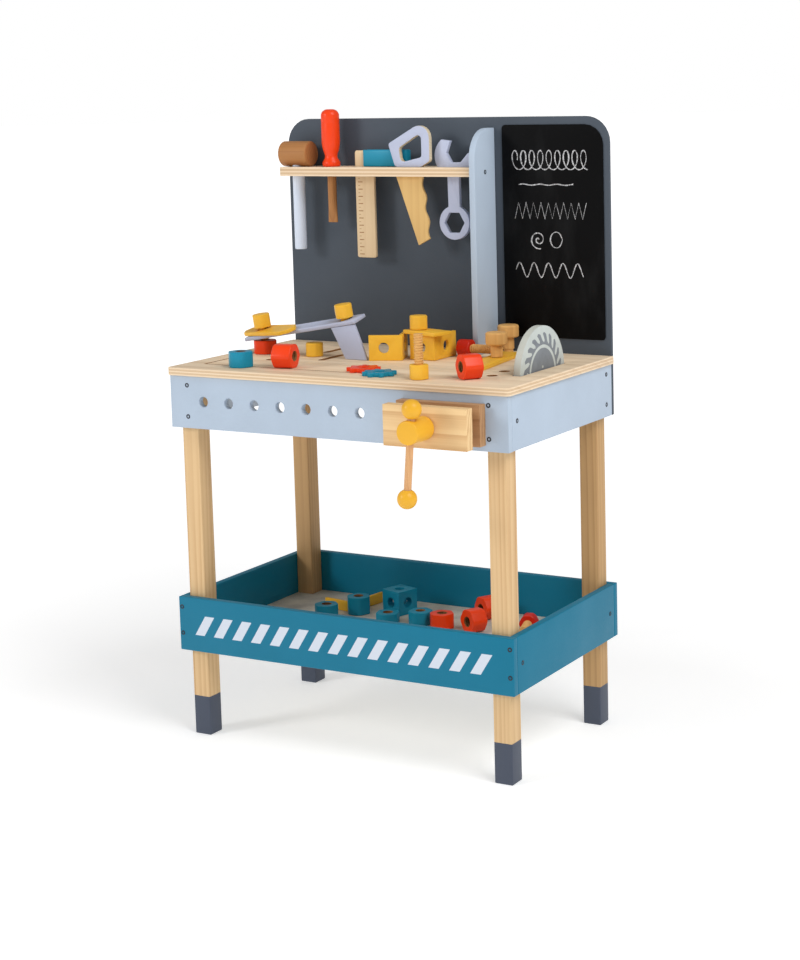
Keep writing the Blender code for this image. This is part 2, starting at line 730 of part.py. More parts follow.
def make_screwdriver():
    """A turned handle on a dowel whose end is drawn out to a flat tip."""
    length = DRIVER_LENGTH
    socket_top = length / 3
    dome = DRIVER_RADIUS * 0.8
    flat = DRIVER_RADIUS - dome
    foot = DRIVER_RADIUS - 0.0004
    profile = [(0, length), *arc((flat, length - dome), dome, 90, 0, 5)]
    profile += [
        (DRIVER_RADIUS, length * 0.42),
        (DRIVER_RADIUS * 0.88, length * 0.28),
        (DRIVER_WAIST, length * 0.18),
        (foot, length * 0.07),
        (foot, 0.0015),
        (foot - 0.0015, 0),
        (DRIVER_SHAFT_RADIUS + GAP, 0),
        (DRIVER_SHAFT_RADIUS + GAP, socket_top + GAP),
        (0, socket_top + GAP),
    ]
    handle = turned("screwdriver_handle", profile, "red", 28)
    place(handle, (DRIVER_X, behind(TOOL_LINE), REST_ON_SHELF))
    bottom = SHELF_TOP - DRIVER_DROP
    shaft_length = REST_ON_SHELF + socket_top - bottom
    work = bmesh.new()
    bmesh.ops.create_cone(
        work, cap_ends=True, segments=20, radius1=DRIVER_SHAFT_RADIUS,
        radius2=DRIVER_SHAFT_RADIUS, depth=shaft_length,
    )
    shoulder = 0.026 - shaft_length / 2
    everything = work.verts[:] + work.edges[:] + work.faces[:]
    bmesh.ops.bisect_plane(work, geom=everything, plane_co=(0, 0, shoulder), plane_no=(0, 0, 1))
    tip = [v for v in work.verts if v.co.z < shoulder - 0.01]
    squash = (
        DRIVER_TIP_WIDTH / 2 / DRIVER_SHAFT_RADIUS,
        DRIVER_TIP_THICKNESS / 2 / DRIVER_SHAFT_RADIUS,
        1,
    )
    bmesh.ops.scale(work, vec=squash, verts=tip)
    mesh = bpy.data.meshes.new("screwdriver_shaft")
    work.to_mesh(mesh)
    work.free()
    shaft = smooth(new_object("screwdriver_shaft", mesh, "beech"))
    place(shaft, (DRIVER_X, behind(TOOL_LINE), bottom + shaft_length / 2))


def make_square():
    """A try square: a ruler let into the end of a thicker stock, which rests on the shelf."""
    half = SQUARE_BLADE_WIDTH / 2
    top = REST_ON_SHELF + SQUARE_STOCK_HEIGHT - 0.001
    bottom = SHELF_TOP - SQUARE_BLADE_DROP
    nip = 0.003
    outline = rounded([(-half, bottom, nip), (half, bottom, nip), (half, top, 0), (-half, top, nip)])
    blade = plate("square_blade", outline, [], SQUARE_BLADE_THICKNESS, "plywood")
    place(blade, (SQUARE_X, behind(SQUARE_LINE), 0), UPRIGHT)
    left = SQUARE_X + SQUARE_STOCK_LEFT
    middle = behind(SQUARE_LINE)
    stock_half = SQUARE_STOCK_THICKNESS / 2
    stock = box(
        "square_stock",
        (left, middle - stock_half, REST_ON_SHELF),
        (left + SQUARE_STOCK_LENGTH, middle + stock_half, REST_ON_SHELF + SQUARE_STOCK_HEIGHT),
        "teal",
    )
    slit_half = SQUARE_BLADE_THICKNESS / 2 + GAP
    slit = box(
        "square_slit",
        (left - half, middle - slit_half, REST_ON_SHELF - half),
        (SQUARE_X + half + GAP, middle + slit_half, REST_ON_SHELF + 2 * SQUARE_STOCK_HEIGHT),
        "pine",
    )
    cut(stock, slit)


def make_handsaw():
    """A closed handle over a tapered blade with a wavy edge, its tongue let into the handle."""
    base = REST_ON_SHELF
    corners = [
        (-0.022, 0, 0.006),
        (0.018, 0, 0.006),
        (0.0315, 0.008, 0.004),
        (0.0315, 0.0655, 0.016),
        (-0.032, 0.0310, 0.004),
    ]
    grip = [
        (0.0192, 0.0130, 0.004),
        (0.0192, 0.0455, 0.005),
        (-0.0155, 0.0255, 0.006),
        (-0.0130, 0.0060, 0.006),
    ]
    outline = [(x, base + z) for x, z in rounded(corners, 6)]
    hole = [(x, base + z) for x, z in rounded(grip)]
    handle = plate("handsaw_handle", outline, [hole], HANDSAW_THICKNESS, "pale_blue")
    place(handle, (HANDSAW_X, behind(SAW_LINE), 0), UPRIGHT)
    left = HANDSAW_BLADE_LEFT
    right = HANDSAW_BLADE_RIGHT
    shoulder = base - GAP
    low = SHELF_TOP - HANDSAW_BLADE_DROP
    teeth = 3
    steps = 36
    wave = 0.0020
    edge = []
    for i in range(steps + 1):
        share = i / steps
        drift = share * (right - wave) + (1 - share) * (right - 0.013)
        ripple = wave * math.sin(share * teeth * 2 * math.pi)
        edge.append((drift + ripple, shoulder - share * (shoulder - low - 0.009)))
    tongue_left = left + 0.008
    tongue_right = right - 0.016
    tongue = [
        (tongue_right, shoulder),
        (tongue_right, shoulder + HANDSAW_TONGUE / 3),
        (tongue_left, shoulder + HANDSAW_TONGUE / 3),
        (tongue_left, shoulder),
    ]
    tip = (right - 0.0195, low)
    blade = plate(
        "handsaw_blade",
        tongue + [(left, shoulder), tip] + edge[::-1],
        [],
        HANDSAW_BLADE_THICKNESS,
        "pine",
    )
    place(blade, (HANDSAW_X, behind(SAW_LINE), 0), UPRIGHT)
    pocket_half = HANDSAW_BLADE_THICKNESS / 2 + GAP
    pocket = box(
        "handsaw_pocket",
        (HANDSAW_X + tongue_left - GAP, behind(SAW_LINE) - pocket_half, base - HANDSAW_TONGUE),
        (
            HANDSAW_X + tongue_right + GAP,
            behind(SAW_LINE) + pocket_half,
            shoulder + HANDSAW_TONGUE / 3 + GAP,
        ),
        "pine",
    )
    cut(handle, pocket)


def make_wrench():
    """An open jaw above and a ring with a six-sided hole below, cut from one board."""
    radius = WRENCH_HEAD_RADIUS
    shank = WRENCH_SHANK
    ring = WRENCH_RING_RADIUS
    ring_z = -WRENCH_RING_DROP
    jaw = polygon(6, WRENCH_JAW, 0, (0.0045, 0.004))
    head_low = math.degrees(math.asin(shank / radius))
    ring_side = math.degrees(math.asin(shank / ring))
    right_arc = arc((0, 0), radius, head_low - 90, 12, 8)
    left_arc = arc((0, 0), radius, 128, 270 - head_low, 10)
    ring_arc = arc((WRENCH_RING_X, ring_z), ring, 90 + ring_side, 450 - ring_side, 24)
    mouth = [(jaw[0][0] + 0.0035, jaw[0][1] - 0.001), jaw[5], jaw[4], jaw[3], (-0.0035, 0.0200)]
    outline = right_arc + mouth + left_arc + ring_arc
    hexagon = polygon(6, 0.0265, 0, (WRENCH_RING_X, ring_z))
    wrench = plate("wrench", outline, [hexagon], WRENCH_THICKNESS, "pale_blue")
    place(wrench, (WRENCH_X, behind(TOOL_LINE), SHELF_TOP + WRENCH_RISE), UPRIGHT)


# Toy fasteners and building pieces

HOLE_BOLT_X = -0.124
HOLE_BOLT_BEHIND = 0.154


def nut(name, paint, height=NUT_HEIGHT):
    """A six-sided nut on its own Z, centred on its origin."""
    return plate(name, polygon(6, NUT_FLATS), [circle(PEG_HOLE / 2)], height, paint)


def bolt(name, paint, shank_length):
    """A six-sided head on a plain shank. The origin is under the head and the shank runs down -Z."""
    head = plate(name, polygon(6, HEAD_FLATS), [], HEAD_HEIGHT, paint)
    for vertex in head.data.vertices:
        vertex.co.z += HEAD_HEIGHT / 2
    overlap = HEAD_HEIGHT / 2
    shank = dowel(name + "_shank", SHANK_RADIUS, shank_length + overlap, paint, 16)
    place(shank, (0, 0, (overlap - shank_length) / 2), (0, 0, 0), head)
    return combine(head, shank, "UNION")


def gear(name, paint):
    """An eight-toothed gear with a bolt hole."""
    teeth = 8
    outer = 0.0215
    root = 0.0165
    outline = []
    for i in range(teeth):
        turn = 360 / teeth * i
        outline += arc((0, 0), root, turn - 9, turn + 9, 2)
        outline += arc((0, 0), outer, turn + 16, turn + 29, 2)
    return plate(name, outline, [circle(PEG_HOLE / 2)], STRIP_THICKNESS, paint)


def strip(name, length, holes, paint, width=STRIP_WIDTH, nip=0.0):
    """A flat strip along its own X with holes at the given distances from its middle."""
    half = length / 2
    side = width / 2
    if nip:
        ends = [(half - nip, -side), (half, nip - side), (half, side - nip), (half - nip, side)]
        outline = ends + [(-x, -y) for x, y in ends]
    else:
        outline = rectangle((-half, -side), (half, side))
    rounds = [circle(PEG_HOLE / 2, (x, 0)) for x in holes]
    return plate(name, outline, rounds, STRIP_THICKNESS, paint)


def bracket(name, long_leg, short_leg, height, paint):
    """An angle standing on its edge: legs along -X and +Y from the corner, a hole through each."""
    wall = STRIP_THICKNESS
    outline = [
        (0, 0),
        (0, short_leg),
        (-wall, short_leg),
        (-wall, wall),
        (-long_leg, wall),
        (-long_leg, 0),
    ]
    made = plate(name, outline, [], height, paint)
    long_middle = (-(long_leg + wall) / 2, wall / 2, 0)
    short_middle = (-wall / 2, (short_leg + wall) / 2, 0)
    radius = PEG_HOLE / 2
    bore(made, name + "_drill_a", radius, 3 * wall, long_middle, (math.pi / 2, 0, 0), made)
    bore(made, name + "_drill_b", radius, 3 * wall, short_middle, (0, math.pi / 2, 0), made)
    return made


def wooden_peg(name):
    """A mushroom-headed peg of bare wood, its origin at its foot."""
    edge = 0.0015
    head = 0.0142
    neck_height = 0.0210
    height = 0.0375
    foot = PEG_HOLE / 2 - RUN
    neck = foot + 0.0014
    profile = [
        (0, height),
        (head - edge, height),
        (head, height - edge),
        (head, neck_height + edge),
        (head - edge, neck_height),
        (neck, neck_height),
        (neck, PEG_SHOULDER),
        (foot, PEG_SHOULDER),
        (foot, 0),
        (0, 0),
    ]
    return turned(name, profile, "beech")


PEG_SHOULDER = STRIP_THICKNESS + 2 * GAP


def on_top(x, distance, rise=0.0):
    """A place on the worktop, this far behind its front edge."""
    return (x, behind(distance), REST_ON_TOP + rise)


def make_loose_pieces():
    """Nuts, bolts, gears and pegs that lie or stand on the worktop."""
    place(nut("blue_nut", "teal"), on_top(-0.159, 0.037, NUT_HEIGHT / 2), (0, 0, math.radians(14)))
    lying = NUT_FLATS / 2
    tipped = (math.pi / 2, 0, math.radians(98))
    place(nut("red_nut", "red", 0.026), on_top(-0.099, 0.050, lying), tipped)
    tipped = (math.pi / 2, 0, math.radians(-36))
    place(nut("orange_nut", "red", 0.024), on_top(0.170, 0.050, lying), tipped)
    place(
        bolt("hole_bolt", "yellow", WORKTOP_THICKNESS + 0.012),
        on_top(HOLE_BOLT_X, HOLE_BOLT_BEHIND),
    )
    standing = bolt("upturned_bolt", "yellow", 0.0375)
    place(standing, on_top(0.113, 0.026, HEAD_HEIGHT), (math.pi, 0, math.radians(12)))
    lying = max(HEAD_FLATS / 2, STRIP_THICKNESS + GAP + SHANK_RADIUS)
    place(
        bolt("red_bolt", "red", 0.043), on_top(0.080, 0.217, lying), (-math.pi / 2, 0, math.pi / 2)
    )
    half = STRIP_THICKNESS / 2
    place(gear("red_gear", "red"), on_top(0.012, 0.060, half), (0, 0, math.radians(6)))
    place(gear("blue_gear", "teal"), on_top(0.050, 0.036, half), (0, 0, math.radians(17)))


def make_rail():
    """A long strip across the worktop, with one wooden peg standing in it and one behind it."""
    turn = math.radians(97.4)
    middle = (0.1305, 0.178)
    along = (math.cos(turn), math.sin(turn))
    peg_along = 0.018
    rail = strip("yellow_rail", 0.140, (-0.052, peg_along), "yellow")
    place(rail, on_top(middle[0], middle[1], STRIP_THICKNESS / 2), (0, 0, turn))
    spot = (middle[0] + peg_along * along[0], middle[1] + peg_along * along[1])
    place(wooden_peg("wooden_peg_front"), on_top(*spot))
    place(wooden_peg("wooden_peg_back"), on_top(0.106, 0.269))


CRANE_RISE = math.radians(10)
CRANE_ROLL = math.radians(12)
CRANE_SWING = math.radians(20)  # the short strip is turned towards the child
CRANE_X = -0.2040
CRANE_BEHIND = 0.155
CRANE_LENGTH = 0.178
CRANE_SPAN = 0.132  # from bolt to bolt
CRANE_NUT_HEIGHT = 0.018
CRANE_TAIL = 0.0035  # how far the bolts reach below the beam


def make_crane():
    """A sloping beam bolted to a nut at its low end and propped by a leaning leg at its high end."""
    low = (CRANE_X, behind(CRANE_BEHIND))
    place(
        nut("crane_nut", "red", CRANE_NUT_HEIGHT),
        (*low, REST_ON_TOP + CRANE_NUT_HEIGHT / 2),
        (0, 0, math.radians(10)),
    )
    corner = NUT_FLATS / 2 / math.cos(math.pi / 6)
    rise = corner * math.hypot(math.tan(CRANE_RISE), math.tan(CRANE_ROLL))
    under = REST_ON_TOP + CRANE_NUT_HEIGHT + GAP + rise
    slope = pivot("crane_slope", (*low, under), (CRANE_ROLL, -CRANE_RISE, 0))
    beam = strip("crane_beam", CRANE_LENGTH, (-CRANE_SPAN / 2, CRANE_SPAN / 2), "pale_blue")
    place(beam, (CRANE_SPAN / 2, 0, STRIP_THICKNESS / 2), (0, 0, 0), slope)
    on_beam = STRIP_THICKNESS + GAP
    hole_across = 0.016  # from the strip's middle to its hole
    cover = strip("crane_strip", 0.098, (-hole_across,), "yellow", nip=0.009)
    middle = (hole_across * math.cos(CRANE_SWING), -hole_across * math.sin(CRANE_SWING))
    place(cover, (*middle, on_beam + STRIP_THICKNESS / 2), (0, 0, -CRANE_SWING), slope)
    hang_bolt("crane_bolt_front", 0, 2 * on_beam, slope)
    hang_bolt("crane_bolt_back", CRANE_SPAN, on_beam, slope)
    make_crane_leg(under)


def hang_bolt(name, along, stack, slope):
    """A bolt dropped loosely through the holes, more upright than the strips are."""
    lean = (-CRANE_ROLL / 2, CRANE_RISE / 2, 0)
    upright = pivot(name + "_lean", (along, 0, stack / 2), lean, slope)
    corner = HEAD_FLATS / 2 / math.cos(math.pi / 6)
    lift = GAP + corner * math.tan(math.hypot(CRANE_ROLL, CRANE_RISE) / 2)
    under_head = stack / 2 + lift
    made = bolt(name, "yellow", under_head + stack / 2 + CRANE_TAIL)
    place(made, (0, 0, under_head), (0, 0, math.radians(8)), upright)


def make_crane_leg(under):
    """A slanting strip whose top edge follows the beam's underside, in front of the back bolt."""
    in_front = SHANK_RADIUS + STRIP_THICKNESS

    def beam_under(x):
        drop = in_front * math.tan(CRANE_ROLL)
        return under + (x - CRANE_X) * math.tan(CRANE_RISE) - drop - 3 * GAP

    top_left = CRANE_X + CRANE_SPAN - 0.017
    top_right = top_left + 0.036
    foot = top_left + 0.0215
    outline = [
        (foot, REST_ON_TOP),
        (foot + 0.033, REST_ON_TOP),
        (top_right, beam_under(top_right)),
        (top_left, beam_under(top_left)),
    ]
    leg = plate("crane_leg", outline, [], STRIP_THICKNESS, "pale_blue")
    place(leg, (0, behind(CRANE_BEHIND) - in_front - GAP, 0), UPRIGHT)


BRACKET_HEIGHT = 0.033


def make_bracket_model():
    """Two angles stood on the worktop and joined by a plate and a bolt on top of them."""
    rise = BRACKET_HEIGHT / 2
    left = bracket("bracket_left", 0.044, 0.045, BRACKET_HEIGHT, "yellow")
    place(left, on_top(0.0109, 0.1558, rise), (0, 0, math.radians(22)))
    right = bracket("bracket_right", 0.037, 0.057, BRACKET_HEIGHT, "yellow")
    place(right, on_top(0.0520, 0.168, rise), (0, 0, 0))
    top = BRACKET_HEIGHT + GAP
    turn = math.radians(-17)
    bolt_spot = (0.0213, 0.181)
    from_middle = 0.016
    middle = (
        bolt_spot[0] + from_middle * math.cos(turn),
        bolt_spot[1] + from_middle * math.sin(turn),
    )
    cover = strip("bracket_plate", 0.060, (-from_middle,), "yellow")
    place(cover, on_top(*middle, top + STRIP_THICKNESS / 2), (0, 0, turn))
    joined = bolt("bracket_bolt", "yellow", STRIP_THICKNESS + 0.020)
    place(joined, on_top(*bolt_spot, top + STRIP_THICKNESS + GAP), (0, 0, math.radians(20)))


CUBE = 0.033


def make_tray_cube():
    """A building block in the tray, drilled through from all six faces."""
    half = CUBE / 2
    cube = box("tray_cube", (-half, -half, -half), (half, half, half), "teal")
    radius = PEG_HOLE / 2
    length = 2 * CUBE
    bore(cube, "cube_drill_x", radius, length, (0, 0, 0), (0, math.pi / 2, 0), cube)
    bore(cube, "cube_drill_y", radius, length, (0, 0, 0), (math.pi / 2, 0, 0), cube)
    bore(cube, "cube_drill_z", radius, length, (0, 0, 0), (0, 0, 0), cube)
    place(cube, (-0.047, behind(0.226), REST_ON_TRAY + half), (0, 0, math.radians(-17)))


def main():
    clear_scene()
    make_worktop()
    make_aprons()
    make_backboard()
    make_chalkboard()
    make_divider()
    make_shelf()
    make_legs()
    make_tray()
    make_vise()
    make_round_saw()
    make_mallet()
    make_screwdriver()
    make_square()
    make_handsaw()
    make_wrench()
    make_loose_pieces()
    make_rail()
    make_crane()
    make_bracket_model()
    make_tray_cube()


main()
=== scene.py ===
"""The toy workbench as it looks: eased boards, grained and painted wood, turned toys and chalk marks."""

import json
import math

import bmesh
import bpy
from mathutils import Matrix, Vector


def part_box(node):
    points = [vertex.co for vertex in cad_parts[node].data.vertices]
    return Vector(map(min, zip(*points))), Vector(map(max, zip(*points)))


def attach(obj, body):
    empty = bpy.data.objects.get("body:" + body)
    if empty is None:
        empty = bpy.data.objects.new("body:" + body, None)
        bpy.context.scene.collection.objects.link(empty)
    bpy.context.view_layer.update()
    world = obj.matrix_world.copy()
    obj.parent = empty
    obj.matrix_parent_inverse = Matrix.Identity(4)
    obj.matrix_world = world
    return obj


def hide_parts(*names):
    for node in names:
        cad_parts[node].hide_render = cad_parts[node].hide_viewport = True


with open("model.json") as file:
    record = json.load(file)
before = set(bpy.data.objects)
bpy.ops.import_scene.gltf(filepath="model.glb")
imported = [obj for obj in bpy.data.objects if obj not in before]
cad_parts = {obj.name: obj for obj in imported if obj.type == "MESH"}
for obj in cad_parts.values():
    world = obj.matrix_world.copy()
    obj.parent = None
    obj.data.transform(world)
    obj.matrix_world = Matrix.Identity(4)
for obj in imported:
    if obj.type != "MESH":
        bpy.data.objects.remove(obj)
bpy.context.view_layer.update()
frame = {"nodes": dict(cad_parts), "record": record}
NODE_BODY = {
    node: body
    for body, nodes in frame["record"]["behaviour"]["bodies"].items()
    for node in nodes
}

QUARTER = math.pi / 2
BAR_TILT = math.radians(5)  # how far the vise's bar leans from upright
SCREW_HEAD = 0.0024  # depth of a fixing screw's head
SCREW_PROUD = 0.0004
HEAD_HEIGHT = 0.018  # a toy bolt's head
HEAD_FLATS = 0.0225
NUT_FLATS = 0.030
MERGE = 1e-6  # points closer than this are one point


# Modelling by hand


def only(piece):
    """Makes a piece the only one selected, and the active one."""
    bpy.ops.object.select_all(action="DESELECT")
    piece.select_set(True)
    bpy.context.view_layer.objects.active = piece


def primitive(kind, name, **settings):
    """Adds a primitive as a new piece, with its place moved into its mesh."""
    bpy.ops.object.select_all(action="DESELECT")
    getattr(bpy.ops.mesh, "primitive_" + kind + "_add")(**settings)
    piece = bpy.context.object
    piece.name = name
    piece.data.name = name
    bpy.ops.object.transform_apply(location=True, rotation=True, scale=True)
    return piece


def edit(piece, kind="FACE"):
    """Opens a piece for editing, with nothing selected."""
    only(piece)
    bpy.ops.object.mode_set(mode="EDIT")
    bpy.ops.mesh.select_mode(type=kind)
    bpy.ops.mesh.select_all(action="DESELECT")


def done():
    """Closes the piece being edited."""
    bpy.ops.object.mode_set(mode="OBJECT")


def pick(piece, kind, test):
    """In edit mode, selects the points, edges or faces that pass the test."""
    bpy.ops.mesh.select_mode(type=kind)
    bpy.ops.mesh.select_all(action="DESELECT")
    work = bmesh.from_edit_mesh(piece.data)
    for part in {"VERT": work.verts, "EDGE": work.edges, "FACE": work.faces}[kind]:
        if test(part):
            part.select_set(True)
    bmesh.update_edit_mesh(piece.data)


def tidy_faces(piece):
    """Turns the triangles of each flat face into one face."""
    edit(piece, "VERT")
    bpy.ops.mesh.select_all(action="SELECT")
    bpy.ops.mesh.remove_doubles(threshold=MERGE)
    bpy.ops.mesh.dissolve_limited(angle_limit=math.radians(0.3))
    done()


def soften(piece, angle=32):
    """Shades every edge that turns by less than the angle as smooth."""
    only(piece)
    bpy.ops.object.shade_smooth_by_angle(angle=math.radians(angle))
    return piece


def finish_with(piece, kind, **settings):
    """Adds a modifier and applies it."""
    only(piece)
    step = piece.modifiers.new(kind.lower(), kind)
    for key, value in settings.items():
        setattr(step, key, value)
    bpy.ops.object.modifier_apply(modifier=step.name)
    return piece


def ease(piece, width, steps=2, angle=40):
    """Rounds every edge that turns by more than the angle."""
    finish_with(
        piece, "BEVEL", width=width, segments=steps, limit_method="ANGLE",
        angle_limit=math.radians(angle), harden_normals=False,
    )
    return soften(piece)


def carve(piece, cutter):
    """Cuts the cutter's shape out of a piece."""
    finish_with(piece, "BOOLEAN", object=cutter, operation="DIFFERENCE", solver="EXACT")
    bpy.data.objects.remove(cutter)
    return piece


def move(piece, matrix):
    """Moves a piece's mesh; its origin stays where it is."""
    piece.data.transform(matrix)
    piece.data.update()
    return piece


def twin(piece, name, matrix):
    """A copy with a mesh of its own, set somewhere else."""
    only(piece)
    bpy.ops.object.duplicate()
    copy = bpy.context.object
    copy.name = name
    copy.data.name = name
    return move(copy, matrix)


def join(first, *others):
    """Makes one piece of several; the first one's faces come first."""
    only(first)
    for other in others:
        other.select_set(True)
    bpy.ops.object.join()
    return first


def finish(piece, *materials):
    """Gives a piece its materials, keeping which face has which."""
    slots = [f.material_index for f in piece.data.polygons]
    piece.data.materials.clear()
    for made in materials:
        piece.data.materials.append(made)
    for face, slot in zip(piece.data.polygons, slots):
        face.material_index = min(slot, len(materials) - 1)
    return piece


def stand_for(piece, *nodes):
    """The piece is shown instead of these CAD nodes and moves with them."""
    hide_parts(*nodes)
    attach(piece, NODE_BODY[nodes[0]])
    return piece


def copied(node, name):
    """The CAD node's shape as a clean piece of its own."""
    only(frame["nodes"][node])
    bpy.ops.object.duplicate()
    piece = bpy.context.object
    piece.name = name
    piece.data.name = name
    piece.parent = None
    tidy_faces(piece)
    return piece


def eased(node, width, *materials, steps=2, angle=40):
    """A board or cut-out like its CAD node, with every edge eased."""
    piece = ease(copied(node, node + "_shown"), width, steps, angle)
    return stand_for(finish(piece, *materials), node)


# Mixing materials


class Value:
    """A socket of a material; the usual operators add Math nodes."""

    def __init__(self, paint, socket):
        self.paint = paint
        self.socket = socket

    def maths(self, operation, *values):
        return self.paint.add("ShaderNodeMath", {"operation": operation}, dict(enumerate(values)))

    def __add__(self, other):
        return self.maths("ADD", self, other)

    def __radd__(self, other):
        return self.maths("ADD", other, self)

    def __sub__(self, other):
        return self.maths("SUBTRACT", self, other)

    def __rsub__(self, other):
        return self.maths("SUBTRACT", other, self)

    def __mul__(self, other):
        return self.maths("MULTIPLY", self, other)

    def __rmul__(self, other):
        return self.maths("MULTIPLY", other, self)

    def __truediv__(self, other):
        return self.maths("DIVIDE", self, other)

    def __pow__(self, other):
        return self.maths("POWER", self, other)

    def __gt__(self, other):
        return self.maths("GREATER_THAN", self, other)

    def __lt__(self, other):
        return self.maths("LESS_THAN", self, other)

    def apply(self, operation, *others):
        return self.maths(operation, self, *others)


class Paint:
    """A material being mixed on the Principled shader."""

    def __init__(self, name, roughness=0.5, coat=0.0):
        self.material = bpy.data.materials.new(name)
        self.material.use_nodes = True
        self.tree = self.material.node_tree
        self.shader = self.tree.nodes["Principled BSDF"]
        self.shader.inputs["Roughness"].default_value = roughness
        self.shader.inputs["Coat Weight"].default_value = coat
        self.shader.inputs["Coat Roughness"].default_value = 0.25
        self.shader.inputs["Specular IOR Level"].default_value = 0.22
        self.place = self.add("ShaderNodeTexCoord", output="Object")

    def add(self, kind, settings=None, values=None, output=0):
        made = self.tree.nodes.new(kind)
        for key, value in (settings or {}).items():
            setattr(made, key, value)
        for key, value in (values or {}).items():
            self.feed(made.inputs[key], value)
        return Value(self, made.outputs[output])

    def feed(self, socket, value):
        if isinstance(value, Value):
            self.tree.links.new(value.socket, socket)
        elif hasattr(socket.default_value, "__len__") and len(socket.default_value) == 4:
            socket.default_value = (*value[:3], 1)
        else:
            socket.default_value = value

    def axes(self, vector=None):
        vector = vector or self.place
        split = self.add("ShaderNodeSeparateXYZ", values={0: vector}).socket.node
        return [Value(self, split.outputs[i]) for i in range(3)]

    def vector(self, x, y, z):
        return self.add("ShaderNodeCombineXYZ", values={0: x, 1: y, 2: z})

    def shifted(self, scale=(1, 1, 1), location=(0, 0, 0), rotation=(0, 0, 0)):
        values = {"Vector": self.place, "Location": location, "Rotation": rotation, "Scale": scale}
        return self.add("ShaderNodeMapping", values=values)

    def noise(self, vector, scale, detail=2.0, roughness=0.5):
        values = {"Vector": vector, "Scale": scale, "Detail": detail, "Roughness": roughness}
        return self.add("ShaderNodeTexNoise", values=values)

    def mix(self, share, first, second):
        values = {0: share, 6: first, 7: second}
        settings = {"data_type": "RGBA", "clamp_factor": True}
        return self.add("ShaderNodeMix", settings, values, output=2)

    def spread(self, value, low, high, to_low=0.0, to_high=1.0):
        """Stretches a value between two limits, and holds it there."""
        values = {0: value, 1: low, 2: high, 3: to_low, 4: to_high}
        return self.add("ShaderNodeMapRange", {"clamp": True}, values)

    def bump(self, height, strength, distance):
        values = {"Height": height, "Strength": strength, "Distance": distance}
        self.feed(self.shader.inputs["Normal"], self.add("ShaderNodeBump", values=values))

    def finished(self, colour, roughness=None):
        self.feed(self.shader.inputs["Base Color"], colour)
        if roughness is not None:
            self.feed(self.shader.inputs["Roughness"], roughness)
        return self.material


def linear(red, green, blue):
    """A colour given as it is seen on a screen, from 0 to 255."""
    return tuple(
        c / 255 / 12.92 if c < 10 else ((c / 255 + 0.055) / 1.055) ** 2.4
        for c in (red, green, blue)
    )


ALONG = {"X": (0.05, 1, 1), "Y": (1, 0.05, 1), "Z": (1, 1, 0.05)}


def wood_colour(paint, pale, dark, along, ring, contrast, heart):
    """Growth rings round a distant heart, with fine fibres that run along one axis."""
    stretched = paint.shifted(scale=ALONG[along], location=heart)
    x, y, z = paint.axes(stretched)
    across = {"X": (y, z), "Y": (x, z), "Z": (x, y)}[along]
    wander = paint.noise(stretched, 26, 3) - 0.5
    radius = (across[0] * across[0] + across[1] * across[1]) ** 0.5 + wander * 0.012
    step = (radius / ring).apply("FRACT")
    late = paint.spread(step, 0.25, 0.95) * (1 - paint.spread(step, 0.95, 1.0))
    patch = paint.noise(stretched, 55, 2)
    fibre = paint.noise(paint.shifted(scale=[s * s if s < 1 else 1 for s in ALONG[along]]), 900, 3)
    strength = late * paint.spread(patch, 0.35, 0.7, 0.35, 1.0) * contrast
    share = strength + (fibre - 0.5) * 0.5 * contrast + (patch - 0.5) * 0.35 * contrast
    return paint.mix(share, pale, dark), fibre, late


def wood(name, pale, dark, along, ring, contrast, heart=(0.05, 0.09, 0.04)):
    """Bare sanded wood."""
    paint = Paint(name)
    colour, fibre, late = wood_colour(paint, pale, dark, along, ring, contrast, heart)
    paint.bump(fibre * 0.6 - late * 0.4, 0.25, 0.0004)
    return paint.finished(colour, paint.spread(fibre, 0.3, 0.7, 0.49, 0.63))


def painted_surface(paint, colour, along, roughness, telegraph):
    """Sprayed paint: a little uneven, with the wood's fibres showing faintly through."""
    cloud = paint.noise(paint.place, 14, 3)
    speck = paint.noise(paint.place, 420, 2)
    fibre = paint.noise(paint.shifted(scale=ALONG[along]), 500, 2)
    darker = [c * 0.86 for c in colour]
    share = paint.spread(cloud, 0.3, 0.7, 0.0, 0.5) + (speck - 0.5) * 0.3
    paint.bump(fibre * telegraph + speck * 0.35, 0.22, 0.0003)
    rough = paint.spread(cloud + (speck - 0.5) * 0.5, 0.3, 0.7, roughness - 0.05, roughness + 0.06)
    return paint.mix(share, colour, darker), rough


def painted(name, colour, along, roughness, telegraph=0.6, coat=0.0):
    """Sprayed paint over wood, its grain running along one axis."""
    paint = Paint(name, coat=coat)
    return paint.finished(*painted_surface(paint, colour, along, roughness, telegraph))


PINE_PALE = linear(224, 190, 143)
PINE_DARK = linear(184, 132, 80)
BIRCH_PALE = linear(238, 215, 184)
BIRCH_DARK = linear(196, 162, 124)
RULER_PALE = linear(220, 194, 156)
RULER_PITCH = 0.0098
BEECH_PALE = linear(172, 120, 72)
BEECH_DARK = linear(132, 82, 46)
PALE_BLUE = linear(180, 195, 212)
TEAL = linear(8, 119, 150)
SLATE = linear(74, 82, 92)
DIP_GREY = linear(76, 83, 98)
SAW_HALF = (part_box("saw_disc")[1][0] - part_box("saw_disc")[0][0]) / 2
YELLOW = linear(246, 190, 58)
RED = linear(244, 66, 14)
WHITE_PRINT = linear(214, 222, 234)
TRAY_GREY = linear(222, 217, 204)


